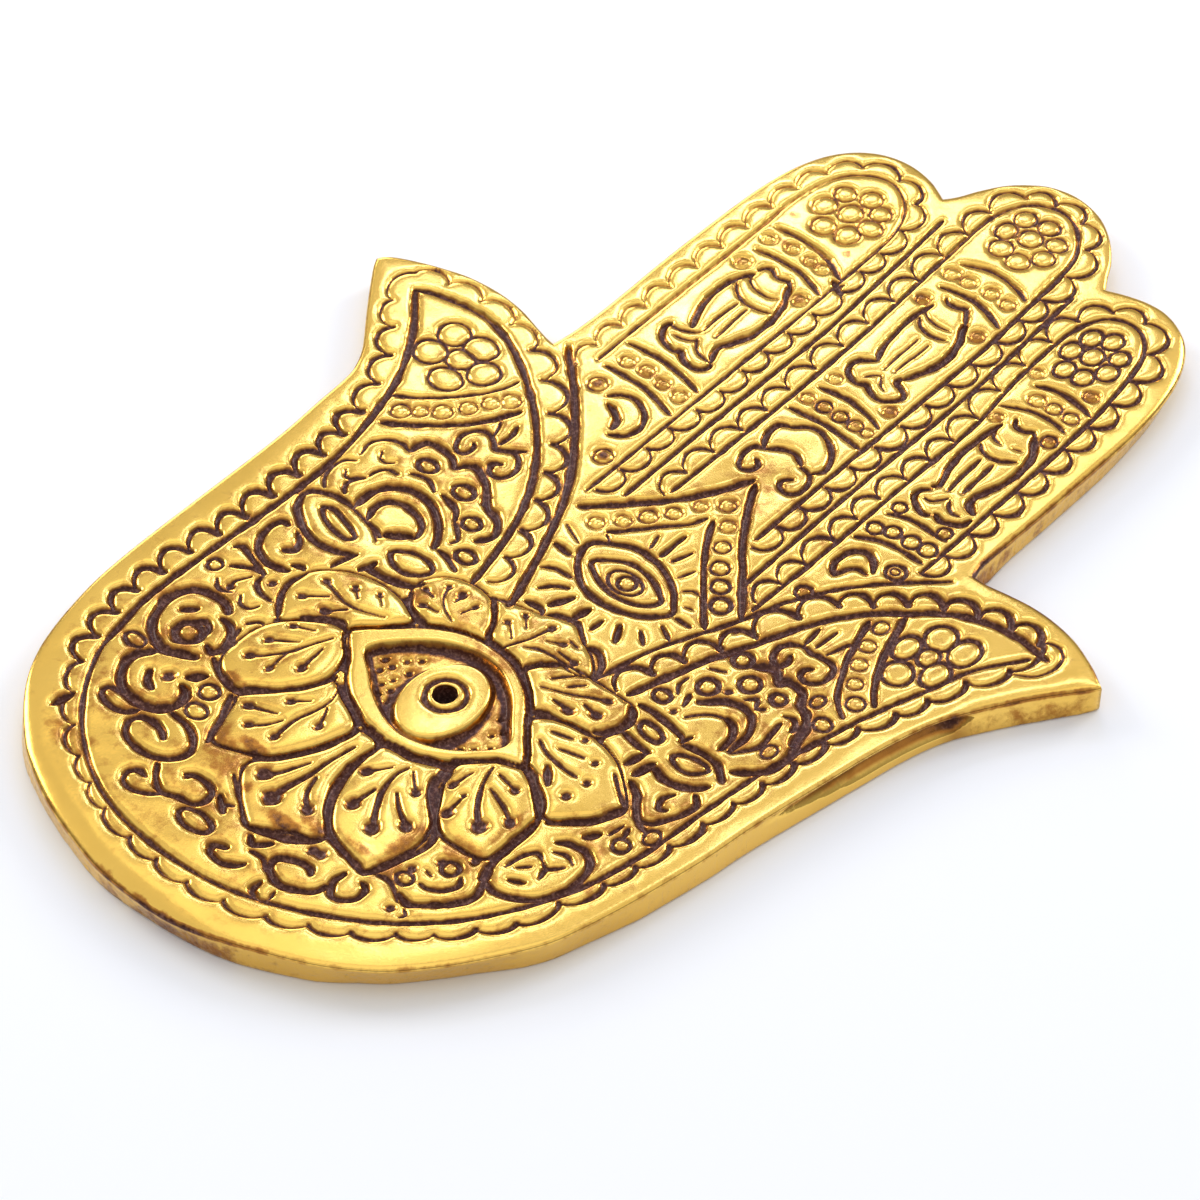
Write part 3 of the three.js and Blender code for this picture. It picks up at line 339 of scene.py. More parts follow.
left_finger_stroke_shares = [
    [0.7, -21, 45.7, -19, 46, -17, 46.1, -15, 45.9, -13, 45.3, -11.5, 44.6, -10, 43.7],
    [0.7, -20.3, 41.3, -18.5, 41.6, -16.5, 41.7, -14, 41.6, -12, 41, -10, 40.2],
    [1, -10.3, 43, -9.3, 42.4, -8.3, 41.8],
    [0.6, -9, 43.3, -9.3, 42.4, -9.7, 41.4],
    [0.7, -17.9, 38.6, -17.6, 39.5, -16.8, 39.9, -15.8, 39.3, -15, 39.3, -14.2, 39.6, -13.5, 39.1],
    [1, -13.5, 39.1, -13, 38, -12.2, 36.5, -11.6, 34.5, -11.3, 32, -11.5, 29.8, -12.2, 27.7, -12.9, 26.3,
     -12.7, 25, -12, 23.8],
    [0.9, -17.8, 38, -18.7, 36.5, -19.2, 34.5, -19.2, 32, -18.8, 30, -18, 28, -17.2, 26.6],
    [0.5, -17.9, 38, -17.6, 37, -16.5, 36.3, -15.3, 36, -14, 36.1, -13.1, 36.6],
    [0.6, -18.4, 35.6, -17.5, 34.6, -16.2, 33.8, -14.8, 33.6, -13.4, 33.8, -12.2, 34.2],
    [0.45, -16, 33, -16.1, 31, -16.1, 29, -15.9, 27],
    [0.45, -14.6, 33, -14.5, 31, -14.3, 29, -14.1, 27],
    [0.9, -19.4, 25.6, -19.6, 24.9, -19.3, 23.9, -18.5, 23, -17.3, 22.5, -16.3, 22.4, -15.6, 22.8, -15,
     22.3, -14, 21.8, -12.9, 21.7, -12, 22, -11.6, 22.8, -11.8, 23.4],
    [0.6, -19.6, 25.5, -18.6, 25.3, -17.5, 25.6, -16.5, 26.1, -16, 26.6],
    [0.5, -15.5, 25.4, -14.6, 24.3, -13.5, 23.7, -12, 23.5],
    [0.3, -18, 24.3, -17, 24.3, -15.8, 24.8, -15.3, 25.5],
    [0.7, -20.8, 19.9, -18.4, 20.2, -16, 20.3, -13.3, 20, -9.9, 19.1],
    [0.7, -20.2, 15.5, -17.3, 15.7, -14.1, 15.6, -9.7, 14.4],
    [0.8, -16.8, 12, -16, 13.1, -14.4, 13.7, -12.8, 13.2, -11.5, 12.1, -10.8, 10.5, -11.1, 8.9, -12, 8,
     -12.7, 7.6],
    [1, -16, 11.2, -14.7, 10.7, -13.6, 9.9, -13, 8.5],
]
middle_finger_stroke_shares = [
    [0.7, -1.5, 55, 0, 55.8, 1.5, 56.3, 3.2, 56.4, 5, 56.1, 6.5, 55.6, 7.8, 54.9],
    [0.8, -0.7, 50.4, 1, 50.9, 3, 51.1, 5, 50.8, 6.8, 50.2, 8.3, 49.4],
    [0.7, 0.9, 49.4, 1.5, 48.9, 2.4, 48.9, 3.1, 49.1, 3.7, 49.4, 4.4, 48.5, 5.2, 47.3],
    [1.1, 5.2, 47.3, 5.5, 46.5, 6.3, 45, 6.9, 43, 7.1, 41, 6.8, 39, 6.2, 37.3, 5.6, 35.8],
    [0.8, 0.4, 47.5, 0.1, 45, 0.1, 43, 0.3, 41, 0.6, 39, 1, 37.5, 1.6, 36.3],
    [0.4, 0.6, 46, 1.5, 45.4, 3, 45.1, 4.6, 45.3],
    [0.6, 0.7, 44.8, 1.5, 43.9, 2.8, 43.4, 4, 43.4, 5.2, 43.9],
    [0.35, 2.8, 42, 2.9, 40, 2.9, 38, 3.1, 35.5],
    [0.35, 4.3, 42, 4.3, 40, 4.2, 38, 4.2, 36],
    [0.9, 1.6, 36.3, 0.9, 35.6, 0.1, 35, -0.2, 34, 0.1, 33, 0.9, 32.3, 2, 32, 2.9, 32.4, 3.4, 32.4, 4, 32,
     5, 31.6, 6.1, 31.7, 7, 32.5, 7.4, 33.5, 6.9, 34.3, 6, 34.7, 5.4, 35.1, 5.3, 35.9],
    [0.4, 2.2, 33.2, 2.7, 34, 3.3, 34.6],
    [0.4, 3.4, 34.7, 4.3, 33.5, 5.2, 33],
    [0.8, -0.4, 28.7, 1.5, 29.1, 3.6, 29.3, 5.5, 29, 7.2, 28.6, 8.5, 28],
    [0.8, -0.8, 24, 1.3, 24.3, 4, 24.5, 6.7, 24.4, 8.8, 24.1],
    [0.9, 1.1, 21.7, 0.1, 21.1, 0, 19.6, 0.5, 18.3, 1.3, 17.3],
    [0.9, 1.3, 21.7, 2.7, 23.1, 4.1, 23.4, 5.9, 22.7, 7.2, 21.6, 8.1, 20.1, 8.3, 18.8, 7.5, 17.7],
    [0.9, 1.3, 17.3, 2.7, 18.4, 4.4, 18.9, 5.9, 18],
    [0.8, 6.1, 17.7, 7.5, 17.5, 8.4, 16.1, 8.4, 14.5, 7.5, 13.6, 6.3, 13.9, 5.9, 14.8, 6.7, 15.7],
    [0.7, 1.3, 17.2, 0.3, 16.8, 0.1, 15.3, 0.5, 14, 1.3, 13.2],
    [0.7, 1.6, 15.5, 2.5, 14.8, 2.3, 13.7, 1.3, 13.2],
]
right_finger_stroke_shares = [
    [0.9, 17.2, 44.8, 18.3, 45.3, 19.5, 45.7, 20.7, 45.8, 22.1, 45.6, 23.4, 45.3, 24.5, 44.9],
    [0.6, 16.3, 39.7, 17.5, 40.4, 19, 41.1, 20.5, 41.4, 22.3, 41.4, 24, 41],
    [0.8, 18.8, 39.2, 19.2, 38.5, 19.9, 38.2, 20.8, 38.4, 21.4, 38.8, 22, 38.4],
    [1.1, 22, 38.4, 22.8, 37.2, 23.6, 35.7, 24, 34, 24.1, 32, 23.8, 30, 23.3, 28.3, 22.9, 27, 23, 25.8,
     23.7, 25, 24.4, 24.6],
    [0.9, 18.1, 37.5, 17.8, 36, 17.7, 34, 17.6, 32, 17.7, 30, 18.1, 28, 18.6, 26.7, 18.9, 25.6, 18.5, 25],
    [0.6, 18, 37, 18.3, 35.8, 19, 35.2, 20, 34.9],
    [0.5, 21.3, 35.3, 22.3, 35.6],
    [0.7, 18.2, 33.7, 18.9, 33, 20, 32.6, 21.2, 32.8, 22.2, 33.4, 22.9, 34],
    [0.6, 19.7, 31.8, 19.8, 29.8, 19.9, 27.8, 20.2, 25.5],
    [0.6, 21.2, 32, 21.4, 30, 21.5, 28, 21.6, 26.2],
    [1, 18.6, 24.5, 17.9, 23.8, 17.8, 22.8, 18.4, 22, 19.4, 21.4, 20.3, 21, 20.9, 21.3],
    [1, 21.4, 21.9, 22.4, 21.5, 23.6, 21.9, 24.5, 22.6, 24.7, 23.7],
    [0.5, 19, 23, 19.8, 23.1, 20.4, 23.9, 20.9, 24.7],
    [0.6, 21.2, 24.5, 21.8, 23.6, 22.7, 23.1, 23.5, 23.3],
    [0.8, 17.5, 18.5, 18.5, 19.1, 20.7, 19.6, 22.8, 19.5, 24.7, 19.5],
    [0.8, 17.1, 13.5, 18.5, 14.5, 20.4, 15.1, 22.5, 15.3, 24.9, 15.2],
    [1, 19.1, 7.7, 18, 8.9, 17.9, 10.3, 18.3, 11.7, 19.6, 12.5, 20.9, 12, 21.9, 10.7],
    [1, 19.1, 7.9, 19.7, 9.5, 20.5, 10.1, 21.6, 10],
]
small_eye_stroke_shares = [
    [0.5, 1.5, -0.3, 2.1, -2.3],
    [0.8, 3.7, 1.5, 3.7, -2.5],
    [0.6, 5.9, 0.1, 5.1, -2.3],
    [0.5, 7.9, -1.7, 7.1, -3.7],
    [0.5, -2.7, -3.9, -1.3, -4.7],
    [0.5, 8.8, -4.8, 9.6, -4, 10.4, -4.1],
    [0.4, -6.9, -5.6, -4, -6.8],
    [0.9, -5.9, -8.5, -3.5, -8.7],
    [0.7, -4.7, -12, -3.3, -11.2, -1.2, -11.1],
    [0.7, -2.8, -14.5, -1.7, -13.1, -0.3, -12.4],
    [1, -0.3, -15.6, 0.9, -13.1],
    [1.2, 2.8, -15.1, 3.2, -13.2],
    [0.9, 5.3, -15.3, 5.3, -13.5],
    [1, 8.3, -14.8, 7.1, -12.7],
    [0.7, 10.8, -13.2, 9.2, -11.9],
    [0.5, 10.4, -6.3, 11.5, -6],
    [0.7, 10.8, -8.1, 12.8, -8.1],
    [0.7, 10.4, -9.9, 12.3, -10.9],
]

# Drops: the half width of the head, then points from the thin tail to the head
drop_shares = [
    [0.5, -26.3, -33.5, -27.2, -35.1, -27, -36.1],
    [0.45, -15.5, -28.5, -16.9, -27.5], [0.35, -12.8, -27.6, -14.3, -26.5],
    [0.45, -11.5, -28.5, -13.7, -29.4, -15.8, -29.8, -18, -29.4, -19.9, -28.8],
    [0.5, -18, -30.3, -20.3, -32.1], [0.55, -15.3, -30.4, -16.9, -32],
    [0.45, -15.6, -34.7, -18, -35.7], [0.5, -15.7, -36.9, -18.5, -38.8],
    [0.6, -13.5, -34.3, -14.8, -36.9, -15.5, -38.5, -17.2, -40.7, -18.4, -41.7],
    [0.55, -13.3, -36, -13.1, -38, -13, -39.5], [0.5, -15.6, -38.4, -15.6, -40.1, -15.5, -41.7],
    [0.35, -6, -24.3, -7.6, -23.6, -8.9, -22.5, -9.5, -21.2, -9.6, -20.9],
    [0.45, -7.6, -22.1, -7.7, -20.7], [0.4, -6, -22.9, -5.5, -21.1], [0.4, -9.7, -23.1, -11.3, -22.8],
    [0.5, -7.9, -24.3, -10, -24.6],
    [0.4, 0.3, -21.9, -1.2, -20.6, -1.6, -20.5], [0.35, 0.5, -19.9, -0.9, -18.5],
    [0.5, 0.4, -23.3, 1.1, -22, 1.7, -20.7, 2.1, -19.1, 2.4, -17.9],
    [0.4, 3.2, -19.7, 4.9, -18.9], [0.5, 5.1, -20, 7.5, -20.1],
    [0.5, 7.1, -24.8, 10, -23.6, 12.1, -22.4, 13.6, -21.6], [0.6, 12.1, -23.7, 14, -23.9],
    [0.6, 9.2, -25.3, 11.3, -25.3],
    [0.65, 10.9, -36.1, 11.6, -38.3, 13.2, -40.9, 15.2, -42.8], [0.55, 12, -36.4, 14.7, -36.9],
    [0.55, 12.7, -38.4, 15.3, -39.3, 17.1, -40.3], [0.4, 9.9, -38, 9.5, -40.7],
    [0.55, 11.4, -41.2, 11.5, -43.7],
    [0.5, 3.4, -42.9, 1.8, -45.1], [0.75, 4.1, -46.2, 3.7, -49.1],
    [0.75, 4.6, -41.9, 4.3, -43.5, 4.8, -45.8, 5.8, -47.7, 6.7, -49, 7.4, -49.9],
    [0.7, 6.1, -45.1, 7.7, -46.4, 9.8, -47.6], [0.55, 5.3, -41.9, 7.5, -43.8],
    [0.85, -1.4, -43.5, -1.9, -46.4, -2.2, -49.3, -2.9, -52.2, -2.9, -53.8],
    [0.65, -3.2, -48, -4.5, -50.6, -5.7, -52.2], [0.65, -1.4, -49, -0.6, -51.2, 1, -52.6],
    [0.5, -8, -39.2, -7.5, -41, -7.8, -43, -8.4, -45, -8.4, -48], [0.5, -7.1, -41.6, -6.5, -42.8, -6, -44],
    [0.5, -8.9, -42, -10.6, -43.5], [0.55, -10.3, -45.5, -13.5, -46.7],
    [0.55, -9.3, -45.8, -10.3, -47.5, -11.7, -48.5],
]

# Punched dots: centre and radius, three numbers each
dot_shares = [
    -24, -32.7, 0.7, 15.4, -27.3, 0.45, 18.2, -28.9, 0.55, 19.3, -31.4, 0.6, 18.9, -34, 0.7, 11.3, -40.9,
    0.45,
    -22.6, -49.1, 0.9, -11.3, -57.4, 0.6, 15.5, -48.4, 0.9, 17.8, -46.1, 0.75, 13.8, -51, 0.8, 15.7, -56,
    0.6,
    5.8, -55.7, 0.8, 5, -55.8, 0.7, 21.6, -12.3, 0.6, 19.2, -18.1, 0.5, -12.9, 25.4, 0.45,
]

# Stippled ground between the great eye's lids and its iris
stipple_shares = [
    -7.5, -33.6, 0.5, -5.5, -33.7, 0.5, -4.9, -32, 0.5, -6.8, -32.5, 0.5, -6, -34.9, 0.5, -4.7, -34.9, 0.5,
    -8.1, -32.2, 0.42, -6.2, -30.9, 0.42, -5.3, -36.2, 0.42, -3.9, -36.4, 0.42, -5.1, -29.8, 0.42,
    7.3, -32.5, 0.42, 8.4, -33.9, 0.42, 7.2, -35.1, 0.42, 6.5, -30.3, 0.42, 6.1, -36, 0.42, 7.9, -31.5,
    0.42,
]

# Closed strokes: the width of each, then its points
loop_shares = [
    [0.7, -28, -21, -26.8, -20.6, -24.8, -21.1, -23.1, -21.6, -22.3, -22.2, -22.8, -22.9, -24.5, -22.9,
     -26.3, -22.4, -27.5, -21.7],
    [0.8, -17.9, -21.1, -16.9, -20, -15.4, -19.4, -13.7, -19.5, -12.7, -20.3, -13.2, -21.4, -14.7, -22.3,
     -16.6, -22.2],
    [0.7, 17.9, -21.1, 19.5, -20.9, 20.8, -21.5, 20.7, -22.4, 19.2, -22.5, 18.1, -22],
    [0.7, 23.2, -22.5, 24.3, -21.6, 26.1, -21.3, 27.1, -21.7, 26.4, -22.9, 25.1, -23.5, 23.7, -23.2],
    [0.9, -3.2, -6.3, -2.4, -5.2, 0.3, -3.6, 2.4, -3.2, 4.8, -3.6, 7.5, -4.9, 9.1, -6.5, 10, -8, 8.3, -10,
     5.6, -11.3, 2.9, -11.7, 0.3, -11.1, -1.6, -9.7, -2.9, -7.9],
    [0.75, -1.2, -7.9, -0.3, -6.8, 1.3, -5.7, 2.9, -5.3, 5.1, -5.6, 6.9, -6.4, 8.1, -7.5, 7.2, -8.9,
     5.6, -9.7, 3.5, -10, 1.3, -9.5, -0.3, -8.7],
]

# Rings: the width of each, its centre, half width and half length, and how dark where it is worn
ring_shares = [
    [0.3, -24.1, 4.3, 1.1, 1.1, 0.5], [0.3, -25.6, 2.6, 1, 1, 0.6], [0.3, -26.9, 0.4, 1, 1, 0.6],
    [0.3, -28.6, -1.9, 1.1, 1.1, 0.6], [0.3, -30.5, -3.4, 0.9, 0.9, 0.5], [0.3, -32.1, -4.9, 1.1, 1.1, 0.6],
    [0.7, -24, -9.1, 1.2, 0.9], [0.7, -18.4, -9.4, 1.3, 1], [0.7, -14.5, -12.3, 1.1, 0.9],
    [0.7, -11.6, -16.3, 1.2, 0.9], [0.6, -30.5, -34.8, 0.8, 0.8], [1.1, -25.5, -43.5, 1.4, 1.4],
    [0.32, 27.6, 5.1, 0.8, 1, 0.7], [0.32, 28.2, 2.2, 0.9, 0.9, 0.7], [0.32, 29.2, -0.4, 0.9, 0.9, 0.7],
    [0.32, 30.6, -2.8, 0.85, 0.85, 0.7], [0.4, 32.4, -4.9, 1, 1], [0.8, 19.8, -7.9, 1, 1],
    [0.5, 29.3, -7.2, 0.7, 0.9], [0.6, 22.6, -10, 1.1, 1.1], [0.6, 26.1, -9.6, 0.8, 0.8],
    [0.5, 31.7, -9.3, 1, 0.9], [0.6, 19.6, -13.1, 1.1, 1.1], [0.6, 16.9, -17.2, 1, 0.85],
    [0.4, 30, -15.7, 0.75, 1], [0.5, 28.7, -32.1, 0.8, 1], [0.6, 27.1, -34.9, 0.9, 0.9],
    [0.5, -28.9, -47.9, 1.3, 0.85], [0.5, -17.9, -47.9, 1.1, 1], [0.5, -17, -50.6, 1.25, 1],
    [0.8, -6.6, -60.9, 2.1, 1.1], [0.7, 16.6, -48.4, 0.9, 0.9], [0.5, 14.1, -52.3, 0.9, 0.8],
    [0.35, -20.1, 38.6, 1, 1, 0.45], [0.35, -11.2, 38.1, 1, 1, 0.45], [0.35, -17.3, 44.2, 0.8, 0.8, 0.6],
    [0.35, -14.5, 43.9, 0.8, 0.8, 0.6], [0.35, -12.7, 43.8, 0.9, 0.9, 0.5],
    [0.35, -20.5, 43.6, 0.8, 0.8, 0.5], [0.35, -18.8, 17.6, 0.9, 0.9, 0.5],
    [0.35, -16.3, 17.9, 0.9, 0.9, 0.6], [0.35, -13.6, 17.5, 0.8, 0.8, 0.6],
    [0.35, -10.9, 17.3, 0.9, 0.9, 0.5], [0.35, -18.9, 12.7, 1.1, 1.1, 0.7],
    [0.35, -10.9, 4.7, 1.1, 1.1, 0.7], [0.35, -1.2, 53.1, 1, 1, 0.5], [0.35, 1, 53.2, 0.9, 0.9, 0.5],
    [0.35, 4.2, 53.4, 0.9, 0.9, 0.6], [0.35, 6.7, 53.1, 0.9, 0.9, 0.5], [0.5, -1, 47.5, 0.8, 0.8, 0.5],
    [0.35, 7.4, 46.7, 0.9, 0.9, 0.45], [0.3, 0, 30.9, 0.8, 0.8, 0.5], [0.35, 7.7, 30.9, 0.9, 0.9, 0.5],
    [0.4, -0.3, 26.5, 0.8, 0.8, 0.5], [0.45, 1.9, 26.7, 0.9, 0.9, 0.7], [0.5, 4.2, 26.7, 0.9, 0.9, 0.75],
    [0.45, 6.3, 26.7, 0.9, 0.9, 0.7], [0.35, 8, 26.7, 0.7, 0.7, 0.6], [0.4, 22.7, 47.5, 0.9, 0.9, 0.55],
    [0.3, 16, 46.5, 0.8, 0.8, 0.5], [0.4, 18.7, 43, 1, 1, 0.55], [0.4, 20.9, 43.2, 0.9, 0.9, 0.7],
    [0.4, 23.2, 43.2, 0.9, 0.9, 0.7], [0.55, 23.6, 38.8, 0.9, 0.9, 0.75], [0.3, 17, 38, 0.8, 0.8, 0.5],
    [0.5, 17.9, 20.1, 0.8, 0.8], [0.5, 23.9, 20.3, 0.8, 0.8], [0.5, 17.9, 16, 0.9, 0.9],
    [0.5, 19.7, 16.8, 0.9, 0.9], [0.5, 22.1, 16.9, 1, 1], [0.5, 24.1, 17.2, 1, 1],
    [0.6, 23.7, 12.3, 1.1, 1.1], [0.3, 23.6, 12.3, 0.5, 0.5], [0.6, 18.3, 3.7, 0.9, 0.9],
    [0.35, 4, 8.1, 0.95, 0.95, 0.6], [0.3, 1.9, 6.1, 0.8, 0.8, 0.4], [0.35, 0.5, 3.3, 0.9, 0.9, 0.6],
    [0.35, -1.2, 1.1, 1, 1, 0.55], [0.3, -2.7, -1.2, 0.9, 0.9, 0.45], [0.35, -4.7, -3.3, 0.9, 0.9, 0.6],
    [0.35, 6.1, 5.7, 0.9, 0.9, 0.5], [0.4, 7.7, 2.9, 0.9, 0.9, 0.75], [0.5, 9.5, 0.4, 1, 1, 0.8],
    [0.5, 11.3, -1.6, 1, 1], [0.6, 13.1, -3.6, 1.1, 1.1], [0.5, 3.5, -7.9, 2.1, 1.5],
    [0.6, 3.7, -7.8, 1, 1],
]

# Flowers of beads: the groove's width, then each bead's centre, half width and half length
flower_shares = [
    [0.42, -16.3, 53.25, 1.4, 1.6, -16.05, 56.7, 1.3, 1.4, -13.7, 55.5, 1.3, 1.3, -13, 52.75, 1.5, 1.4,
     -14.2, 50.1, 1.4, 1.6, -17.25, 49.5, 1.45, 1.5, -19.4, 52.3, 1.4, 1.6, -18.9, 55.4, 1.3, 1.3],
    [0.42, 1.8, 63.6, 1.4, 1.45, 2.25, 66.5, 1.3, 1.3, 4.7, 64.7, 1.25, 1.2, 4.95, 61.9, 1.3, 1.35,
     3.05, 59.6, 1.4, 1.35, 0.2, 60.2, 1.4, 1.45, -1.15, 62.9, 1.2, 1.45, -0.7, 65.9, 1.3, 1.4],
    [0.5, 19, 52.7, 1.25, 1.5, 19.2, 56.1, 1.15, 1.45, 21.4, 54.4, 1.1, 1.3, 21.75, 51.7, 1.2, 1.45,
     20.2, 49.3, 1.15, 1.4, 17.9, 49, 1.15, 1.45, 16.6, 51.9, 1.15, 1.5, 17.1, 55, 1.15, 1.5],
    [0.42, -32.9, 5.55, 1.7, 1.6, -36.2, 8, 1.9, 1.85, -32.4, 8.25, 2.1, 1.8, -29.35, 5.5, 1.85, 1.9,
     -32, 2.1, 2.1, 1.7, -36.3, 4.2, 1.95, 1.85],
    [0.52, 33.9, 5.15, 1.1, 1.4, 33.2, 8.1, 1.65, 1.9, 36.3, 8.1, 1.55, 2.1, 35.95, 3.7, 1.4, 1.95,
     32.9, 1.3, 1.65, 1.75, 31.35, 4.7, 1.3, 1.9],
]

# Where the patina is polished thin: centre, half width, half length and how much is gone
faint_shares = [
    [-24.5, 40, 5, 32, 0.5], [-15.5, 36, 7, 26, 0.18], [-16, 53, 8, 10, 0.3], [0, 62, 9, 13, 0.3],
    [-32, 9, 12, 8, 0.12], [-38, 14.2, 11, 2.5, 0.4], [-19, -63, 12, 6, 0.22], [4, -66, 17, 5, 0.24],
]

# Amber on the open ground, partly patina and partly painted shade, as round the petals' tips and sides and
# over the palm below the middle finger: centre, half width, half length and how much
amber_and_shade_shares = [
    [-10, -53, 3.5, 2.8, 0.35], [-13, -51.5, 1.6, 2.6, 0.3], [16.5, -46.5, 3.2, 2.2, 0.35],
    [11.3, -49, 1.5, 4.5, 0.3], [-24, -61.8, 3.5, 1.8, 0.3], [0.5, -55.3, 3, 1.1, 0.5],
    [3, -53.6, 2.5, 1, 0.4], [-9, -50.2, 2.6, 0.9, 0.45], [-5.8, -54.6, 1, 1, 0.3],
    [-17, -45, 2.6, 0.8, 0.35], [8.5, -52.6, 2.5, 0.8, 0.35], [17.5, -40.5, 0.7, 4, 0.3],
    [-10.8, -24, 1.2, 1.6, 0.3], [-17, -27.3, 3, 1, 0.15], [12.5, -52.5, 2, 2, 0.3],
    [-25, -50, 9, 14, 0.12], [-8, -60, 16, 7, 0.1], [27, -33, 6, 12, 0.12], [-26, -30, 7, 14, 0.06],
    [27, -12, 8, 16, 0.12], [-22, -8, 9, 12, 0.1], [-14, -70.3, 2, 0.5, 0.15], [-9, -71.2, 2.2, 0.5, 0.25],
    [-4, -71.4, 2.4, 0.5, 0.4], [0.8, -71.2, 2.4, 0.5, 0.45], [5, -70.2, 1.8, 0.5, 0.3],
    [-20.1, 38.6, 1, 1, 0.42], [-11.2, 38.1, 1, 1, 0.42], [-20.8, 48.6, 0.9, 0.9, 0.35],
    [-12, 47.3, 0.9, 0.8, 0.45], [-19, 43.9, 3, 0.8, 0.25], [-13.6, 43.7, 2.4, 0.8, 0.25],
    [-14.8, 17.5, 5.5, 0.9, 0.3], [-18.9, 12.7, 0.9, 0.9, 0.5], [-10.9, 4.7, 0.9, 0.9, 0.55],
    [-1, 47.5, 0.9, 0.9, 0.5], [7.4, 46.7, 1, 1, 0.4], [7.7, 30.9, 1, 1, 0.42], [0, 30.9, 0.7, 0.7, 0.25],
    [4, 26.6, 5, 0.9, 0.25], [23.6, 38.8, 0.9, 0.9, 0.5], [17, 38, 0.9, 0.9, 0.38],
    [22.8, 47.5, 0.9, 0.9, 0.42], [16, 46.6, 0.9, 0.9, 0.38], [23.9, 20.3, 0.7, 0.7, 0.4],
    [18.3, 3.7, 0.8, 0.8, 0.4], [30.7, 18.5, 0.8, 1.3, 0.7], [-7, -22, 5, 3, 0.18], [3, -20, 6, 3, 0.18],
    [11, -23, 6, 3, 0.16], [5, 12, 5, 7, 0.2], [0, -25.2, 8, 1.6, 0.25], [-17, -31, 4, 5, 0.12],
    [-17, -40, 4, 5, 0.12],
]

# Wall at places round the rim: where, how far the foot is drawn in, how deep the hollow is (which also sets
# the painted shade in it), and how brown it is: stains at the heel, dark patches at the notches and a
# painted dark reflection along the top of the right thumb's wall
wall_shares = [
    [49.8, 13.7, 0, 0, 0.05], [30.2, 17.4, -0.3, 0, 0.5], [29.7, 20.7, -0.4, 0, 0.35],
    [29.7, 25, 0, 0, 0.2], [29.8, 40.7, 0.2, 0, 0.1], [29.6, 47, 0.6, 0, 0], [28.4, 55, 0.9, 0, 0],
    [18, 63.9, 0.4, 0, 0], [1, 73, 0.4, 0, 0], [-20, 63.9, 0.5, 0, 0], [-27.2, 41, 0.6, 0, 0],
    [-51.5, 11.2, 0.6, 0, 0], [-39.4, -15, 0.6, 0, 0], [-38.3, -42, 0.2, 0, 0], [-35.4, -55, -0.3, 0, 0],
    [-28, -64, -0.4, 0, 0], [-20, -68.8, 0.1, 0, 0.05], [-12, -70.9, 0.1, 0, 0.12],
    [-8, -71.5, 0.2, 0, 0.24], [-3, -71.6, 0.5, 0, 0.36], [0.5, -71.4, 0.5, 0, 0.42],
    [4, -70.6, 0.3, 0, 0.36], [7.5, -69.4, 0.1, 0, 0.2], [11, -68, 0.2, 0, 0.1], [15, -66, 0.4, 0, 0],
    [18.5, -63.8, 0.9, 0, 0], [24, -58.2, 1, 0, 0], [26.5, -55, 0.9, 0, 0], [29, -51, 0.4, 0, 0],
    [31.6, -44.4, 0.3, 0, 0], [33, -38.5, -0.1, 0, 0], [35, -27, -0.2, 0, 0], [35.4, -24, -0.3, 0, 0],
    [36, -20, -0.4, 0.4, 0], [37.8, -10, -0.6, 1.2, 0], [40.2, -1.3, -0.4, 1.3, 0.1],
    # The brown at 45.7, 8.4 and 48.5, 12, along the top of the right thumb's wall, is a painted dark
    # reflection
    [41, 0.6, -0.4, 1, 0.32], [42.2, 2.8, -0.5, 0.1, 0.15], [45.7, 8.4, -0.6, 0, 0.26],
    [48.5, 12, -0.4, 0, 0.2],
]

# Shoulder rings under the rim: how far out, how far down, how much further where it is rounded, and how
# much of the edge's stain and of the wall's brown and painted dark reflection each takes
shoulder_ring_shares = [
    [-0.3, 0.03, 1.15, 0.8], [-0.14, 0.08, 1.3, 1.1], [-0.04, 0.17, 1.45, 1.3], [0, 0.32, 1.6, 1.4],
]
shoulder_stain_share = 0.15

# Rings down the drilled hole, over its straight part: how far out, how far down, and how dark; below them
# it is fully dark
bore_ring_shares = [[0.03, 0.05, 0.2], [0, 0.2, 0.6]]

# Edge of the rim: how far it is rounded down, how much more at the heel, and where that grows up and across
rim_round_share, heel_round_share = 0.07, 0.3
heel_round_up_shares, heel_round_across_shares = (-58, -69), (9, -1)

# Filed bevel of the right thumb: how far down, how wide, where its middle is and how far it runs from there
thumb_bevel_share, thumb_bevel_width_share = 0.1, 0.75
thumb_bevel_place_share, thumb_bevel_reach_shares = (45, 7), (5, 9)

# Filed bevel of the right finger: how far down, how wide, and where it grows across and up
finger_bevel_share, finger_bevel_width_share = 0.25, 1.9
finger_bevel_across_shares, finger_bevel_up_shares = (22, 27), (16, 24)

# Sizes of the relief, in hundredths of the sheet's side
cell_share = 0.15
sheet_margin_share = 0.5
run_step_share = 0.35
rim_step_share = 0.3
rim_band_share = 0.45
inward_limit_share = 2.0
hollow_blur_share = 0.16
pillow_share = 0.17
pillow_reach_share = 0.85
least_groove_share = 0.12
dot_length_share = 0.05
dot_depth_share = 0.35
petal_rise_share = 0.35
petal_grown_share = 0.2
petal_swell_from_share = -0.1
petal_swell_share = 2.2
petal_edge_share = 0.18
petal_edge_depth_share = 0.5
ground_rise_share = 0.05
gap_depth_share = 0.4
gap_width_shares = (0.75, 1.0)
lid_swell_shares = (-0.2, 0.8)
lid_reach_share = -0.3
lid_clear_share = 0.45
lid_edge_share = 0.22
lid_edge_depth_share = 0.55
lotus_flat_shares = (12, 24)
well_edge_shares = (-0.15, 0.7)
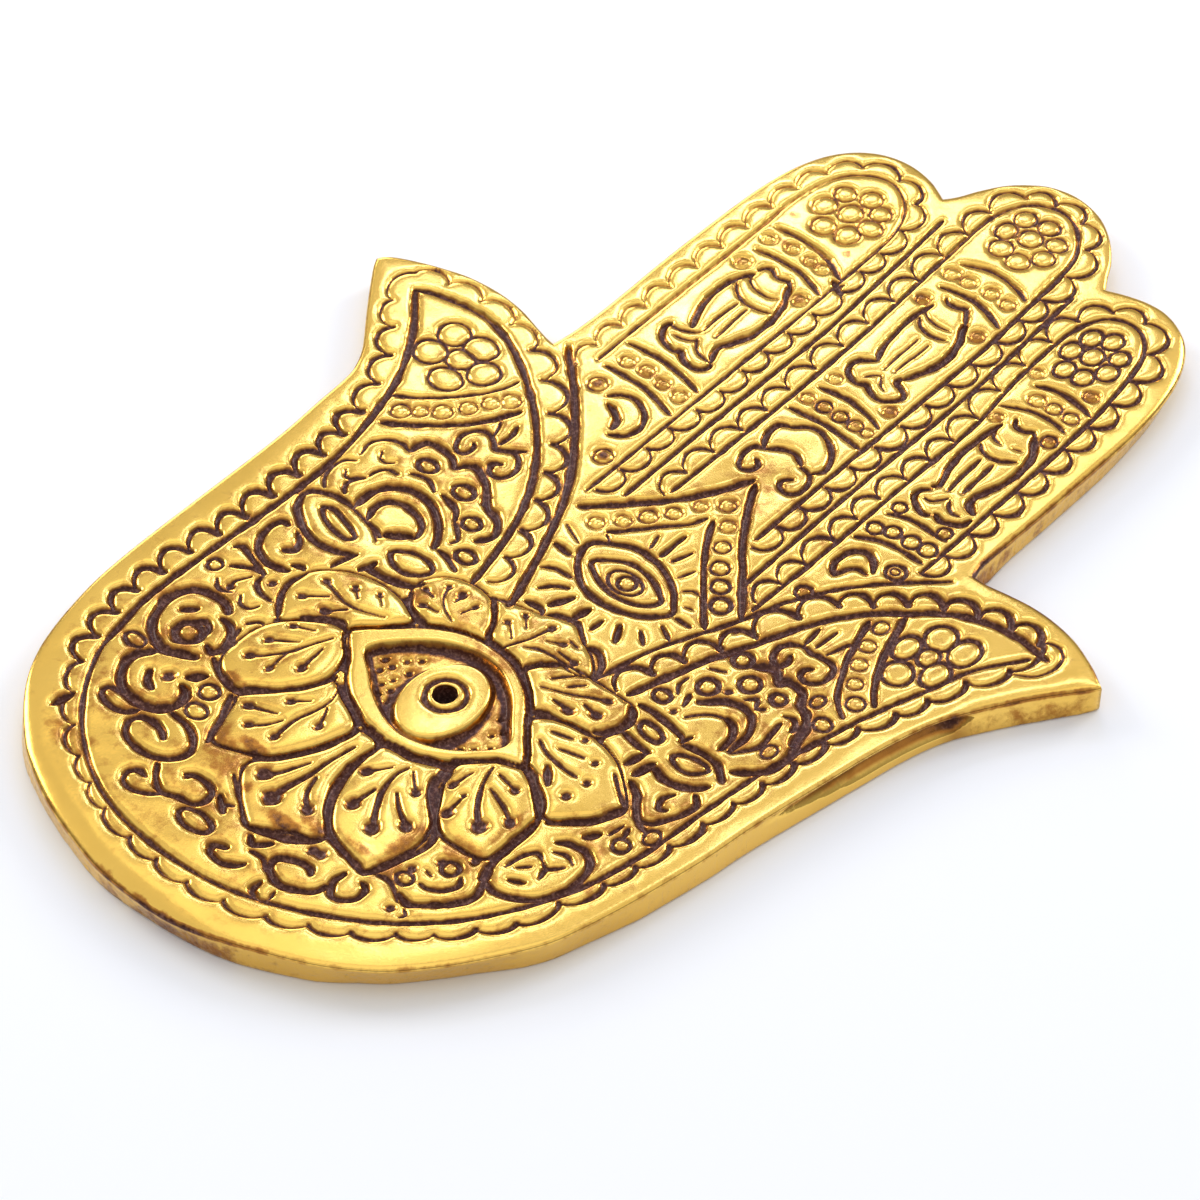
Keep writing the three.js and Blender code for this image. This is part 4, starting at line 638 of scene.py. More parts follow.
# Painted shade in the eye's well: down its walls, and over its upper part
well_wall_shade_shares = (0.55, 1.3)
well_shade_shares = (0.8, 2.0)
well_shade_height_shares = (-36, -27)
well_floor_share = -0.75
crown_share = 0.3
pupil_ring_width_share = 0.7
pupil_ring_radius_share = 2.2
pupil_ring_shift_share = 0.1
crowd_blur_share = 1.1
crowd_fade_up_shares = (10, 20)
hole_mouth_share = 0.12
foot_height_share = 0.3
foot_bevel_share = 0.1
rough_share = 0.05

# Grooves: depth for their width, and how they, their patina and their lines run out, in half widths
depth_per_width = 0.42
depth_kept = 0.8
groove_spread = 1.1
cut_run_out = (0.2, 1.45)
stain_run_out = (0.25, 1.4)
line_half_widths = 0.9
groove_reach = 2.0
stroke_end_width = 0.5

# Unevenness of the hand work: strength, spread in hundredths of the sheet's side, and seed
groove_wobble_shares = [[0.09, 0.45, 3], [0.08, 1.6, 4]]
ground_wave_shares = [[0.04, 3.0, 1], [0.008, 0.9, 2]]
pit_spread_share, pit_seed = 0.5, 7
rough_rings, rough_seed = 9, 5

# Cells of the face: small ones in a large one, and the bend and change of patina and painted shade that
# call for small ones
block_cells = 4
bend_share = 0.014
patina_and_shade_change = 0.04

# Camera, looking down at the palm from the lower right; lens and sensor in millimetres, clipping in metres
camera_azimuth, camera_elevation = 42, 46.6
camera_distance_share = 425.073
camera_aim_share = (3.322, -11.636)
camera_lens, camera_sensor = 121.92, 36
camera_clip = (0.01, 100)

# Lamps: azimuth, elevation, distance and size in hundredths of the sheet's side, power and colour
white = (1, 1, 1)
cool = (0.8, 1.0, 1.8)
lamp_shares = {
    "finger": (-142, 38.8, 457, 55, 0.042, cool),
    "tip": (-151.3, 38.4, 457, 45, 0.022, cool),
    "thumb": (-131.5, 42.1, 450, 45, 0.022, cool),
    "petal": (-131, 53.8, 457, 40, 0.017, cool),
    "high": (-122, 58, 900, 200, 0.08, white),
    "edge": (-167.5, 50.8, 900, 160, 0.12, cool),
    "corner": (-158.5, 60, 900, 120, 0.1, cool),
    "top": (-60, 86, 800, 500, 0.3, white),
    "low": (-122, 17, 900, 350, 1.2, white),
    "left": (-84, 28, 900, 350, 2.5, white),
    "right": (170, 28, 900, 350, 2.5, white),
}

# Sky: levels from straight below to straight above, and the brightness at each
sky_levels = ((0, 0.3), (0.45, 0.42), (0.66, 0.82), (0.8, 0.84), (1, 0.75))

# Floor: how far it lies under the hand, and how many hand lengths it reaches
floor_drop_share, floor_hand_lengths = 0.02, 40

# Bumps of the metal's grain
bump_share = 0.4

# Colours of the metal, of the patina on it with lighter specks painted in as glints, and of the floor
gold_deep, gold_pale = (0.89, 0.55, 0.105, 1), (0.95, 0.605, 0.13, 1)
amber_brown = (0.42, 0.17, 0.028, 1)
patina_dark, patina_glint = (0.06, 0.014, 0.007, 1), (0.26, 0.12, 0.085, 1)
floor_low, floor_high = (0.92, 0.93, 0.955, 1), (0.935, 0.945, 0.965, 1)

outline_width_share = 101.3
hundredth = (NODE_HIGH.x - NODE_LOW.x) / outline_width_share
plate_share = (NODE_HIGH.z - NODE_LOW.z) / hundredth - petal_rise_share


def pairs(row):
    """A row of x and y numbers as points."""
    return np.array(row, float).reshape(-1, 2)


def smooth_run(points, closed=False, step=run_step_share):
    """Even steps along a smooth curve through the points."""
    count = len(points)
    spans = []
    for i in range(count if closed else count - 1):
        if closed:
            a, b, c, d = (points[(i + k) % count] for k in (-1, 0, 1, 2))
        else:
            a, b, c, d = (points[min(max(i + k, 0), count - 1)] for k in (-1, 0, 1, 2))
        steps = max(2, math.ceil(np.hypot(*(c - b)) / step))
        t = (np.arange(steps) / steps)[:, None]
        spans.append(0.5 * (2 * b + (c - a) * t + (2 * a - 5 * b + 4 * c - d) * t**2
                            + (3 * b - a - 3 * c + d) * t**3))
    if not closed:
        spans.append(points[-1:])
    return np.vstack(spans)


def smooth_step(low, high, value):
    t = np.clip((value - low) / (high - low), 0, 1)
    return t * t * (3 - 2 * t)


class Sheet:
    """The grid that the relief is worked out on, one value for each of its points."""

    def __init__(self, low, high, cell):
        self.cell = cell
        self.low = np.array(low, float)
        blocks = np.ceil((np.array(high) - self.low) / (cell * block_cells)).astype(int)
        self.shape = tuple(blocks[::-1] * block_cells + 1)
        self.x = self.low[0] + np.arange(self.shape[1]) * cell
        self.y = self.low[1] + np.arange(self.shape[0]) * cell
        self.depth = np.zeros(self.shape)
        self.patina_and_shade = np.zeros(self.shape)
        self.rise = np.zeros(self.shape)
        self.near = np.full(self.shape, np.inf)
        self.faint = np.ones(self.shape)
        self.line = np.zeros(self.shape, bool)
        self.wobble = self.unevenness(groove_wobble_shares, 1.0)

    def window(self, points, margin):
        """The part of the grid that reaches this far round the points."""
        low = np.floor((points.min(0) - margin - self.low) / self.cell).astype(int)
        high = np.ceil((points.max(0) + margin - self.low) / self.cell).astype(int) + 1
        low = np.maximum(low, 0)
        return slice(low[1], max(high[1], low[1])), slice(low[0], max(high[0], low[0]))

    def measure(self, run, radii, reach):
        """Distance to the run in its half widths, up to reach of them; returns the window it holds for."""
        whole = self.window(run, radii.max() * reach)
        self.near[whole] = np.inf
        for start, end, start_radius, end_radius in zip(run[:-1], run[1:], radii[:-1], radii[1:]):
            area = self.window(np.array([start, end]), max(start_radius, end_radius) * reach)
            across = self.x[area[1]][None, :] - start[0]
            up = self.y[area[0]][:, None] - start[1]
            way = end - start
            long = max(way @ way, 1e-9)
            t = np.clip((across * way[0] + up * way[1]) / long, 0, 1)
            radius = start_radius + (end_radius - start_radius) * t
            away = np.hypot(across - t * way[0], up - t * way[1]) / radius
            self.near[area] = np.minimum(self.near[area], away)
        return whole

    def engrave(self, run, radii, depth, dark=1.0):
        """Cuts a groove along the run, with patina in its bottom."""
        area = self.measure(run, radii, groove_reach)
        self.press(area, self.near[area], depth, dark)

    def press(self, area, near, depth, dark):
        """Cuts and stains the window by how near each point is to the groove, in its half widths."""
        near = near * self.wobble[area] * groove_spread
        cut = depth * (1 - smooth_step(*cut_run_out, near))
        self.depth[area] = np.maximum(self.depth[area], cut)
        stain = dark * self.faint[area] * (1 - smooth_step(*stain_run_out, near))
        self.patina_and_shade[area] = np.maximum(self.patina_and_shade[area], stain)
        self.line[area] |= near < line_half_widths

    def inside(self, ring):
        """True for the grid's points inside the ring."""
        found = np.zeros(self.shape, bool)
        following = np.roll(ring, -1, axis=0)
        low_row = np.searchsorted(self.y, np.minimum(ring[:, 1], following[:, 1]))
        high_row = np.searchsorted(self.y, np.maximum(ring[:, 1], following[:, 1]))
        for start, end, first, last in zip(ring, following, low_row, high_row):
            if first == last:
                continue
            rows = np.arange(first, last)
            cross = start[0] + (self.y[rows] - start[1]) * (end[0] - start[0]) / (end[1] - start[1])
            found[rows] ^= self.x[None, :] > cross[:, None]
        return found

    def inward(self, ring):
        """Distance from the ring, positive inside it and held at the same limit both ways."""
        closed = np.vstack([ring, ring[:1]])
        away = np.full(self.shape, inward_limit_share)
        area = self.measure(closed, np.ones(len(closed)), inward_limit_share)
        away[area] = np.minimum(self.near[area], inward_limit_share)
        return np.where(self.inside(ring), away, -away)

    def from_lines(self, reach):
        """Distance from the nearest engraved line, held at reach."""
        steps = int(reach / self.cell) + 1
        far = (steps + 1.0) ** 2
        square = np.where(self.line, 0.0, far)
        for axis in (1, 0):
            padded = np.pad(square, steps, constant_values=far)
            inner = [slice(steps, -steps), slice(steps, -steps)]
            for k in range(-steps, steps + 1):
                inner[axis] = slice(steps + k, padded.shape[axis] - steps + k)
                square = np.minimum(square, padded[tuple(inner)] + k * k)
        return self.soften(np.minimum(np.sqrt(square) * self.cell, reach), hollow_blur_share)

    def soften(self, values, spread):
        """Values blurred over that distance."""
        reach = max(1, round(2.5 * spread / self.cell))
        taps = np.exp(-0.5 * (np.arange(-reach, reach + 1) * self.cell / spread) ** 2)
        taps /= taps.sum()
        for axis in (0, 1):
            ends = [(0, 0), (0, 0)]
            ends[axis] = (reach, reach)
            padded = np.pad(values, ends, mode="edge")
            size = values.shape[axis]
            values = sum(tap * padded.take(range(k, k + size), axis) for k, tap in enumerate(taps))
        return values

    def mottle(self, spread, seed):
        """Smooth random unevenness of that spread, about as strong as 1 either way."""
        coarse = max(1, int(spread / self.cell / 3))
        rng = np.random.default_rng(seed)
        small = rng.standard_normal((self.shape[0] // coarse + 3, self.shape[1] // coarse + 3))
        rows = np.arange(self.shape[0]) / coarse
        columns = np.arange(self.shape[1]) / coarse
        row, column = rows.astype(int), columns.astype(int)
        row_part, column_part = (rows - row)[:, None], (columns - column)[None, :]
        top = small[row][:, column] * (1 - column_part) + small[row][:, column + 1] * column_part
        low = small[row + 1][:, column] * (1 - column_part) + small[row + 1][:, column + 1] * column_part
        wide = self.soften(top * (1 - row_part) + low * row_part, spread)
        return wide / max(wide.std(), 1e-9)

    def unevenness(self, rows, level=0.0):
        """Mottles of several spreads, each with its own strength, added to an even level."""
        return sum((strength * self.mottle(spread, seed) for strength, spread, seed in rows), level)


def taper(run, radius):
    """Half width along a stroke, thinner over the last hundredth of the sheet's side at both ends."""
    along = np.append(0, np.cumsum(np.hypot(*np.diff(run, axis=0).T)))
    full = np.sqrt(np.clip(np.minimum(along, along[-1] - along), 0, 1))
    return radius * (stroke_end_width + (1 - stroke_end_width) * full)


def groove_depth(width):
    return least_groove_share + depth_per_width * width


def cut_strokes(sheet, rows, closed=False):
    for width, *row in rows:
        run = smooth_run(pairs(row), closed)
        if closed:
            run = np.vstack([run, run[:1]])
            radii = np.full(len(run), width / 2)
        else:
            radii = taper(run, width / 2)
        sheet.engrave(run, radii, groove_depth(width))


def cut_ring(sheet, width, x, y, half_x, half_y, dark=1.0):
    turn = np.linspace(0, 2 * math.pi, 25)
    run = np.column_stack([x + half_x * np.cos(turn), y + half_y * np.sin(turn)])
    sheet.engrave(run, np.full(len(run), width / 2), groove_depth(width), dark)


def cut_beads(sheet, row):
    """Beads side by side, with one groove in common where two of them touch."""
    width, beads = row[0], np.array(row[1:]).reshape(-1, 4)
    area = sheet.window(beads[:, :2], beads[:, 2:].max() + width)
    across, up = np.meshgrid(sheet.x[area[1]], sheet.y[area[0]])
    away = []
    for x, y, wide, tall in beads:
        away.append((np.hypot((across - x) / wide, (up - y) / tall) - 1) * min(wide, tall))
    first, second = np.sort(away, axis=0)[:2]
    edge = np.where(first > 0, first, np.minimum(-first, (second - first) / 2))
    sheet.press(area, edge / (width / 2), groove_depth(width), 1.0)


def cut_dots(sheet, row):
    for x, y, radius in np.array(row).reshape(-1, 3):
        run = np.array([[x, y], [x, y + dot_length_share]])
        sheet.engrave(run, np.full(2, radius * 0.8), dot_depth_share)


def cut_drops(sheet, rows):
    """Strokes that start as a hair and end in a round head."""
    for head, *row in rows:
        run = smooth_run(pairs(row))
        t = np.linspace(0, 1, len(run))
        sheet.engrave(run, head * (0.25 + 0.3 * t), groove_depth(head))
        sheet.engrave(run[-2:], np.full(2, head * 1.08), groove_depth(head * 1.3))


def cut_scallops(sheet, row):
    """Round arcs from cusp to cusp, thin first and full at the end; a lean below 0 turns that round."""
    width, bulge, lean, *cusps = row
    cusps = pairs(cusps)
    t = np.linspace(0, 1, 15)
    along = 0.25 * t + 0.75 * (0.5 - 0.5 * np.cos(math.pi * t))
    arch = np.sin(math.pi * t ** abs(lean)) * 1.08 - 0.08
    thick = 0.5 + 0.5 * smooth_step(0.1, 0.8, t if lean > 0 else 1 - t)
    for start, end in zip(cusps[:-1], cusps[1:]):
        chord = end - start
        out = np.array([-chord[1], chord[0]]) * bulge
        run = start + chord * along[:, None] + out * arch[:, None]
        sheet.engrave(run, width / 2 * thick, groove_depth(width))


def patch(sheet, x, y, wide, tall, full, end):
    """1 over the middle of an oval, then less and less from full to end, which are parts of its size."""
    away = np.hypot((sheet.x[None, :] - x) / wide, (sheet.y[:, None] - y) / tall)
    return 1 - smooth_step(full, end, away)


def shoulder(x, y):
    """How far the rim's edge is rounded down: a little all round, and most at the left of the heel."""
    up, across = smooth_step(*heel_round_up_shares, y), smooth_step(*heel_round_across_shares, x)
    return rim_round_share + heel_round_share * up * across


def bevels(x, y):
    """How far the edge is filed down besides, at the tip of the right thumb and along the right finger."""
    thumb_x, thumb_y = thumb_bevel_place_share
    away = np.hypot(x - thumb_x, y - thumb_y)
    thumb = thumb_bevel_share * (1 - smooth_step(*thumb_bevel_reach_shares, away))
    across, up = smooth_step(*finger_bevel_across_shares, x), smooth_step(*finger_bevel_up_shares, y)
    return thumb, finger_bevel_share * across * up


def edge_drop(x, y):
    return shoulder(x, y) + sum(bevels(x, y))


def raise_petals(sheet):
    """Raises the petals, and returns how far the nearest two of them are from each point."""
    first, second = np.full((2,) + sheet.shape, inward_limit_share)
    whole = (slice(None), slice(None))
    for row in petal_shares:
        away = sheet.inward(smooth_run(pairs(row), True)) + petal_grown_share
        first, second = nearest_two(first, second, away)
        swell = np.clip((away - petal_swell_from_share) / petal_swell_share, 0, 1)
        dome = petal_rise_share * np.sqrt(1 - (1 - swell) ** 2)
        sheet.rise = np.maximum(sheet.rise, dome)
        sheet.press(whole, np.abs(away) / petal_edge_share, petal_edge_depth_share, 1.0)
    return first, second


def nearest_two(first, second, away):
    """The two least distances out of first, second and that to one more form."""
    out = np.maximum(-away, 0)
    return np.minimum(first, out), np.minimum(second, np.maximum(first, out))


def raise_lids(sheet, first, second):
    """Raises the lids among the petals and fills the narrow gaps between all of them with patina."""
    lids = smooth_run(pairs(lid_shares), True)
    away = sheet.inward(lids)
    first, second = nearest_two(first, second, away)
    gap = (1 - smooth_step(*gap_width_shares, first + second)) * (sheet.rise < ground_rise_share)
    sheet.patina_and_shade = np.maximum(sheet.patina_and_shade, gap)
    sheet.depth = np.maximum(sheet.depth, gap_depth_share * gap)
    dome = petal_rise_share * np.sqrt(smooth_step(*lid_swell_shares, away))
    sheet.rise = np.where(away > lid_reach_share, dome, sheet.rise)
    clear = away > lid_clear_share
    sheet.depth[clear] = 0
    sheet.patina_and_shade[clear] = 0
    edge = np.vstack([lids, lids[:1]])
    sheet.engrave(edge, np.full(len(edge), lid_edge_share), lid_edge_depth_share)


def sink_eye(sheet):
    """Flattens the lotus away from the eye, sinks the eye's well and sets the iris in it; paints shade down
    the well's walls, over its upper part and round the iris.
    """
    x, y, wide, long = iris_share
    across, up = np.meshgrid(sheet.x, sheet.y)
    sheet.rise *= 1 - 0.7 * smooth_step(*lotus_flat_shares, np.hypot((across - x) * 0.85, up - y))
    opening = sheet.inward(smooth_run(pairs(opening_shares), True))
    well = smooth_step(*well_edge_shares, opening)
    egg = np.hypot((across - x) / wide, (up - y) / long)
    iris = 1 - smooth_step(0.93, 1.1, egg)
    crown = crown_share * np.sqrt(np.clip(1 - (egg / 1.2) ** 2, 0, 1))
    sheet.rise = sheet.rise * (1 - well) + well * well_floor_share
    # Painted shade: the patina is darker down the well's walls, over its upper part and in a ring round the
    # iris
    painted_wall_shade = 1 - smooth_step(*well_wall_shade_shares, opening)
    shade = smooth_step(*well_shade_height_shares, up + 0.15 * across)
    shade *= 1 - smooth_step(*well_shade_shares, opening)
    shade = np.maximum(shade, 1 - smooth_step(1.05, 1.3, egg + 0.03 * (up - y)))
    pits = 0.2 + 0.12 * smooth_step(-0.5, 1, sheet.mottle(pit_spread_share, pit_seed))
    sheet.patina_and_shade = np.maximum(sheet.patina_and_shade, well * np.maximum(pits, np.maximum(painted_wall_shade, shade)))
    sheet.rise = sheet.rise * (1 - iris) + iris * crown
    sheet.patina_and_shade *= 1 - iris
    sheet.depth *= 1 - iris
    x, y = hole_share[:2]
    radius = pupil_ring_radius_share
    cut_ring(sheet, pupil_ring_width_share, x + pupil_ring_shift_share, y, radius, radius)


def chase(sheet):
    """Cuts every line, drop, dot, ring, flower and scallop, with amber patina and painted shade over the
    ground between.
    """
    for rows in (border_line_shares, left_thumb_stroke_shares, left_palm_stroke_shares, petal_stroke_shares,
                 heel_stroke_shares, right_thumb_stroke_shares, left_finger_stroke_shares,
                 middle_finger_stroke_shares, right_finger_stroke_shares, small_eye_stroke_shares):
        cut_strokes(sheet, rows)
    # Amber patches, partly patina and partly painted shade
    for x, y, wide, tall, more in amber_and_shade_shares:
        sheet.patina_and_shade += more * patch(sheet, x, y, wide, tall, 0.4, 1.1) * (1 - sheet.patina_and_shade)
    cut_drops(sheet, drop_shares)
    cut_dots(sheet, dot_shares)
    cut_dots(sheet, stipple_shares)
    cut_strokes(sheet, loop_shares, closed=True)
    for row in ring_shares:
        cut_ring(sheet, *row)
    for row in flower_shares:
        cut_beads(sheet, row)
    for row in scallop_shares:
        cut_scallops(sheet, row)


def stain_and_shade_crowded(sheet):
    """Darkens the ground with amber where lines crowd together, partly patina and partly painted shade, and
    less of it up the fingers.
    """
    fade_up = 1 - 0.7 * smooth_step(*crowd_fade_up_shares, sheet.y[:, None])
    crowded = sheet.soften(sheet.line.astype(float), crowd_blur_share) * fade_up
    # Painted shade: amber over the ground where lines crowd, like shade in a cavity
    sheet.patina_and_shade += 0.42 * crowded * (1 - sheet.patina_and_shade)


def work_relief(sheet, band):
    """All that is raised and cut on the face of the hand, as heights over the rim."""
    rim = sheet.inward(band)
    for x, y, wide, tall, less in faint_shares:
        sheet.faint -= less * patch(sheet, x, y, wide, tall, 0.5, 1.2)
    raise_lids(sheet, *raise_petals(sheet))
    sink_eye(sheet)
    chase(sheet)
    stain_and_shade_crowded(sheet)
    near_lines = 1 - sheet.from_lines(pillow_reach_share) / pillow_reach_share
    pillow = pillow_share * near_lines ** 2
    waves = sheet.unevenness(ground_wave_shares) * smooth_step(0, inward_limit_share, rim)
    across, up = np.meshgrid(sheet.x, sheet.y)
    thumb, finger = bevels(across, up)
    soft = shoulder(across, up) * (1 - rim / inward_limit_share) ** 2
    thumb *= np.clip(1 - rim / thumb_bevel_width_share, 0, 1)
    finger *= np.clip(1 - rim / finger_bevel_width_share, 0, 1)
    soft += thumb + finger
    soft *= rim > 0
    relief = sheet.rise - depth_kept * sheet.depth - pillow + waves - soft
    return np.minimum(relief, petal_rise_share)


def outline_run():
    """The rim's outline in even steps, its ways outward, the middle of its box and its corners."""
    stretches = [smooth_run(pairs(row), step=rim_step_share)[:-1] for row in outline_shares]
    corners = np.cumsum([0] + [len(stretch) for stretch in stretches[:-1]])
    run = np.vstack(stretches)
    middle = (run.max(0) + run.min(0)) / 2
    ahead = np.roll(run, -1, axis=0) - run
    behind = run - np.roll(run, 1, axis=0)
    ahead /= np.hypot(*ahead.T)[:, None]
    behind /= np.hypot(*behind.T)[:, None]
    way = ahead + behind
    way /= np.hypot(*way.T)[:, None]
    out = np.column_stack([way[:, 1], -way[:, 0]])
    return run, out, middle, corners


def nearest_on(ring, points):
    """For each point, the place along the closed ring nearest to it, as an index with a fraction."""
    ways = np.roll(ring, -1, axis=0) - ring
    best = np.full(len(points), np.inf)
    place = np.zeros(len(points))
    for i, (start, way) in enumerate(zip(ring, ways)):
        t = np.clip(((points - start) @ way) / (way**2).sum(), 0, 1)
        away = ((points - start - t[:, None] * way) ** 2).sum(1)
        closer = away < best
        best[closer] = away[closer]
        place[closer] = i + t[closer]
    return place


def at_place(values, place):
    """Values of a closed ring read at places between its points."""
    count = len(values)
    low = np.floor(place).astype(int) % count
    part = (place - np.floor(place)).reshape((-1,) + (1,) * (values.ndim - 1))
    return values[low] * (1 - part) + values[(low + 1) % count] * part


def any_of_four(cells):
    """For each two by two cells, whether any of them is true."""
    rows, columns = cells.shape
    return cells.reshape(rows // 2, 2, columns // 2, 2).any((1, 3))


def each_as_four(cells):
    return np.kron(cells, np.ones((2, 2), bool))


def leaves_of(sheet, relief, kept):
    """Cells of three sizes, small where the relief is fine and large where it is plain."""
    near = sheet.cell * 1.3
    bend = np.abs(relief - sheet.soften(relief, near))
    change = np.abs(sheet.patina_and_shade - sheet.soften(sheet.patina_and_shade, near))
    fine = (bend > bend_share) | (change > patina_and_shade_change)
    small = any_of_four(fine[:-1, :-1] | fine[1:, :-1] | fine[:-1, 1:] | fine[1:, 1:])
    wide = np.pad(small, 1)
    touching = wide[:-2, 1:-1] | wide[2:, 1:-1] | wide[1:-1, :-2] | wide[1:-1, 2:] | small
    cut_off = any_of_four(~kept[:-1, :-1] | ~kept[1:, :-1] | ~kept[:-1, 1:] | ~kept[1:, 1:])
    split = any_of_four(touching | cut_off)
    found = []
    for size, wanted in (
        (block_cells, ~split),
        (block_cells // 2, each_as_four(split) & ~small),
        (1, each_as_four(small)),
    ):
        row, column = np.nonzero(wanted)
        row, column = row * size, column * size
        whole = np.ones(len(row), bool)
        for up in sorted({0, size // 2, size}):
            for over in sorted({0, size // 2, size}):
                whole &= kept[row + up, column + over]
        found.append((size, row[whole], column[whole]))
    return found


def sheet_faces(sheet, leaves):
    """Faces over the leaves, as rows of grid points with -1 for those left out."""
    used = np.zeros(sheet.shape, bool)
    for size, row, column in leaves:
        for up, over in ((0, 0), (0, size), (size, size), (size, 0)):
            used[row + up, column + over] = True
    faces = []
    for size, row, column in leaves:
        half = size // 2
        around = (
            (0, 0), (0, half), (0, size), (half, size), (size, size), (size, half), (size, 0), (half, 0),
        )
        ids = np.full((len(row), 8), -1)
        for k, (up, over) in enumerate(around):
            there = (row + up) * sheet.shape[1] + column + over
            if k % 2 == 0:
                ids[:, k] = there
            elif half:
                ids[:, k] = np.where(used[row + up, column + over], there, -1)
        faces.append(ids)
    return np.vstack(faces)


def edge_loops(faces):
    """The closed runs of points round the edges of the faces, the longest first."""
    starts, ends = [], []
    for k in range(8):
        here = faces[:, k]
        there = np.full(len(faces), -1)
        for step in range(1, 8):
            after = faces[:, (k + step) % 8]
            there = np.where((there < 0) & (after >= 0), after, there)
        starts.append(here[here >= 0])
        ends.append(there[here >= 0])
    start, end = np.concatenate(starts), np.concatenate(ends)
    span = int(faces.max()) + 1
    open_edge = ~np.isin(start * span + end, end * span + start)
    lead = {}
    for here, there in zip(start[open_edge].tolist(), end[open_edge].tolist()):
        if here in lead:
            raise SystemExit("two cells of the face meet only at a corner")
        lead[here] = there
    loops = []
    while lead:
        first, here = lead.popitem()
        loop = [first]
        while here != first:
            loop.append(here)
            here = lead.pop(here)
        loops.append(loop)
    return sorted(loops, key=len, reverse=True)


def wall_rings(run, out, place, rough):
    """Rings down the wall from the rim to the foot, each with its points, height, patina with painted shade
    and dark reflection, and finish.

    The finish is 0 on the chased metal, 1 on the rough wall as cast and below 0 in the smooth hollow.
    """
    table = np.array(wall_shares)
    where = nearest_on(run, table[:, :2])
    order = np.argsort(where)
    foot, cove, brown_and_dark_reflection = (
        np.interp(place, where[order], table[order, k], period=len(run)) for k in (2, 3, 4)
    )
    base, way = at_place(run, place), at_place(out, place)
    soft = edge_drop(*base.T)
    rings = []
    for shift, drop, more, stain in shoulder_ring_shares:
        rings.append((shift + 0 * foot, drop + more * soft, (shoulder_stain_share + brown_and_dark_reflection) * stain, 0))
    start = rings[-1][1]
    fall = plate_share - foot_height_share - start
    reach = 0.1 + 0.54 * np.clip(cove / 1.1, 0, 1)
    smooth = np.clip(cove * 2, 0, 1)
    for k, uneven in enumerate(rough, 1):
        t = k / len(rough)
        hollow = cove * np.sin(math.pi * np.clip(t / reach, 0, 1)) ** 0.7
        # Painted shade: the hollow under the rim is darkened in the patina; the wall's brown grows in below
        # it towards the foot
        stain = 0.42 * np.clip(hollow * 2, 0, 1) + brown_and_dark_reflection * smooth_step(0, 0.4, t)
        shift = uneven * (1 - 0.7 * smooth) - foot * t - hollow
        rings.append((shift, start + fall * t, stain, 1 - 2 * smooth))
    rings.append((-foot - foot_bevel_share, plate_share - foot_bevel_share, brown_and_dark_reflection, 1))
    rings.append((-foot - foot_height_share, plate_share, brown_and_dark_reflection, 1))
    return [(base + way * shift[:, None], -drop, stain, cast) for shift, drop, stain, cast in rings]


def bore_rings(hole, ray, radius, top):
    """Rings down the drilled hole from its mouth to the back, given the same way as those of the wall."""
    rings = [(hole + ray * (radius + out), top - down, stain, 0) for out, down, stain in bore_ring_shares]
    for t in (0.3, 0.6, 1):
        rings.append((hole + ray * radius, top - (top + plate_share) * t, 1, 0))
    return rings


class Skin:
    """Points and faces of the casting, gathered before they become one mesh."""

    def __init__(self):
        self.points, self.patina_and_shade, self.cast, self.faces = [], [], [], []
        self.count = 0

    def add(self, flat, height, patina_and_shade, cast):
        """Adds points that share a finish, and returns their numbers."""
        ids = np.arange(self.count, self.count + len(flat))
        self.count += len(flat)
        self.points.append(np.column_stack([flat, height + np.zeros(len(flat))]))
        self.patina_and_shade.append(patina_and_shade + np.zeros(len(flat)))
        self.cast.append(cast + np.zeros(len(flat)))
        return ids

    def bridge(self, upper, lower):
        """One row of faces from a ring to the ring below it."""
        after_upper, after_lower = np.roll(upper, -1), np.roll(lower, -1)
        self.faces.append(np.column_stack([after_upper, upper, lower, after_lower]))

    def go_down(self, upper, rings):
        """Adds rings one below the other, joined to each other, and returns the last."""
        for flat, height, patina_and_shade, cast in rings:
            lower = self.add(flat, height, patina_and_shade, cast)
            self.bridge(upper, lower)
            upper = lower
        return upper

    def close_back(self, rings):
        """Flat back between the foot's ring and the hole's."""
        points = np.vstack(self.points)
        loops = [[Vector(points[i]) for i in ring] for ring in rings]
        ids = np.concatenate(rings)
        triangles = ids[np.array(tessellate_polygon(loops))]
        a, b, c = (points[triangles[:, k], :2] for k in range(3))
        turn = (b[:, 0] - a[:, 0]) * (c[:, 1] - a[:, 1]) - (b[:, 1] - a[:, 1]) * (c[:, 0] - a[:, 0])
        triangles[turn > 0] = triangles[turn > 0][:, ::-1]
        self.faces.append(triangles[turn != 0])

    def mesh(self, name, place):
        """The finished mesh, with each point moved by place from the sheet to the frame."""
        points = place(np.vstack(self.points))
        corners, sizes = [], []
        for group in self.faces:
            corners.append(group[group >= 0])
            sizes.append((group >= 0).sum(1))
        corners, sizes = np.concatenate(corners), np.concatenate(sizes)
        mesh = bpy.data.meshes.new(name)
        mesh.vertices.add(len(points))
        mesh.vertices.foreach_set("co", points.astype(np.float32).ravel())
        mesh.loops.add(len(corners))
        mesh.loops.foreach_set("vertex_index", corners.astype(np.int32))
        mesh.polygons.add(len(sizes))
        mesh.polygons.foreach_set("loop_start", (np.cumsum(sizes) - sizes).astype(np.int32))
        mesh.update(calc_edges=True)
        mesh.validate()
        mesh.polygons.foreach_set("use_smooth", np.ones(len(mesh.polygons), bool))
        for label, values in (("patina_and_shade", self.patina_and_shade), ("cast", self.cast)):
            layer = mesh.attributes.new(label, "FLOAT", "POINT")
            layer.data.foreach_set("value", np.concatenate(values).astype(np.float32))
        return mesh


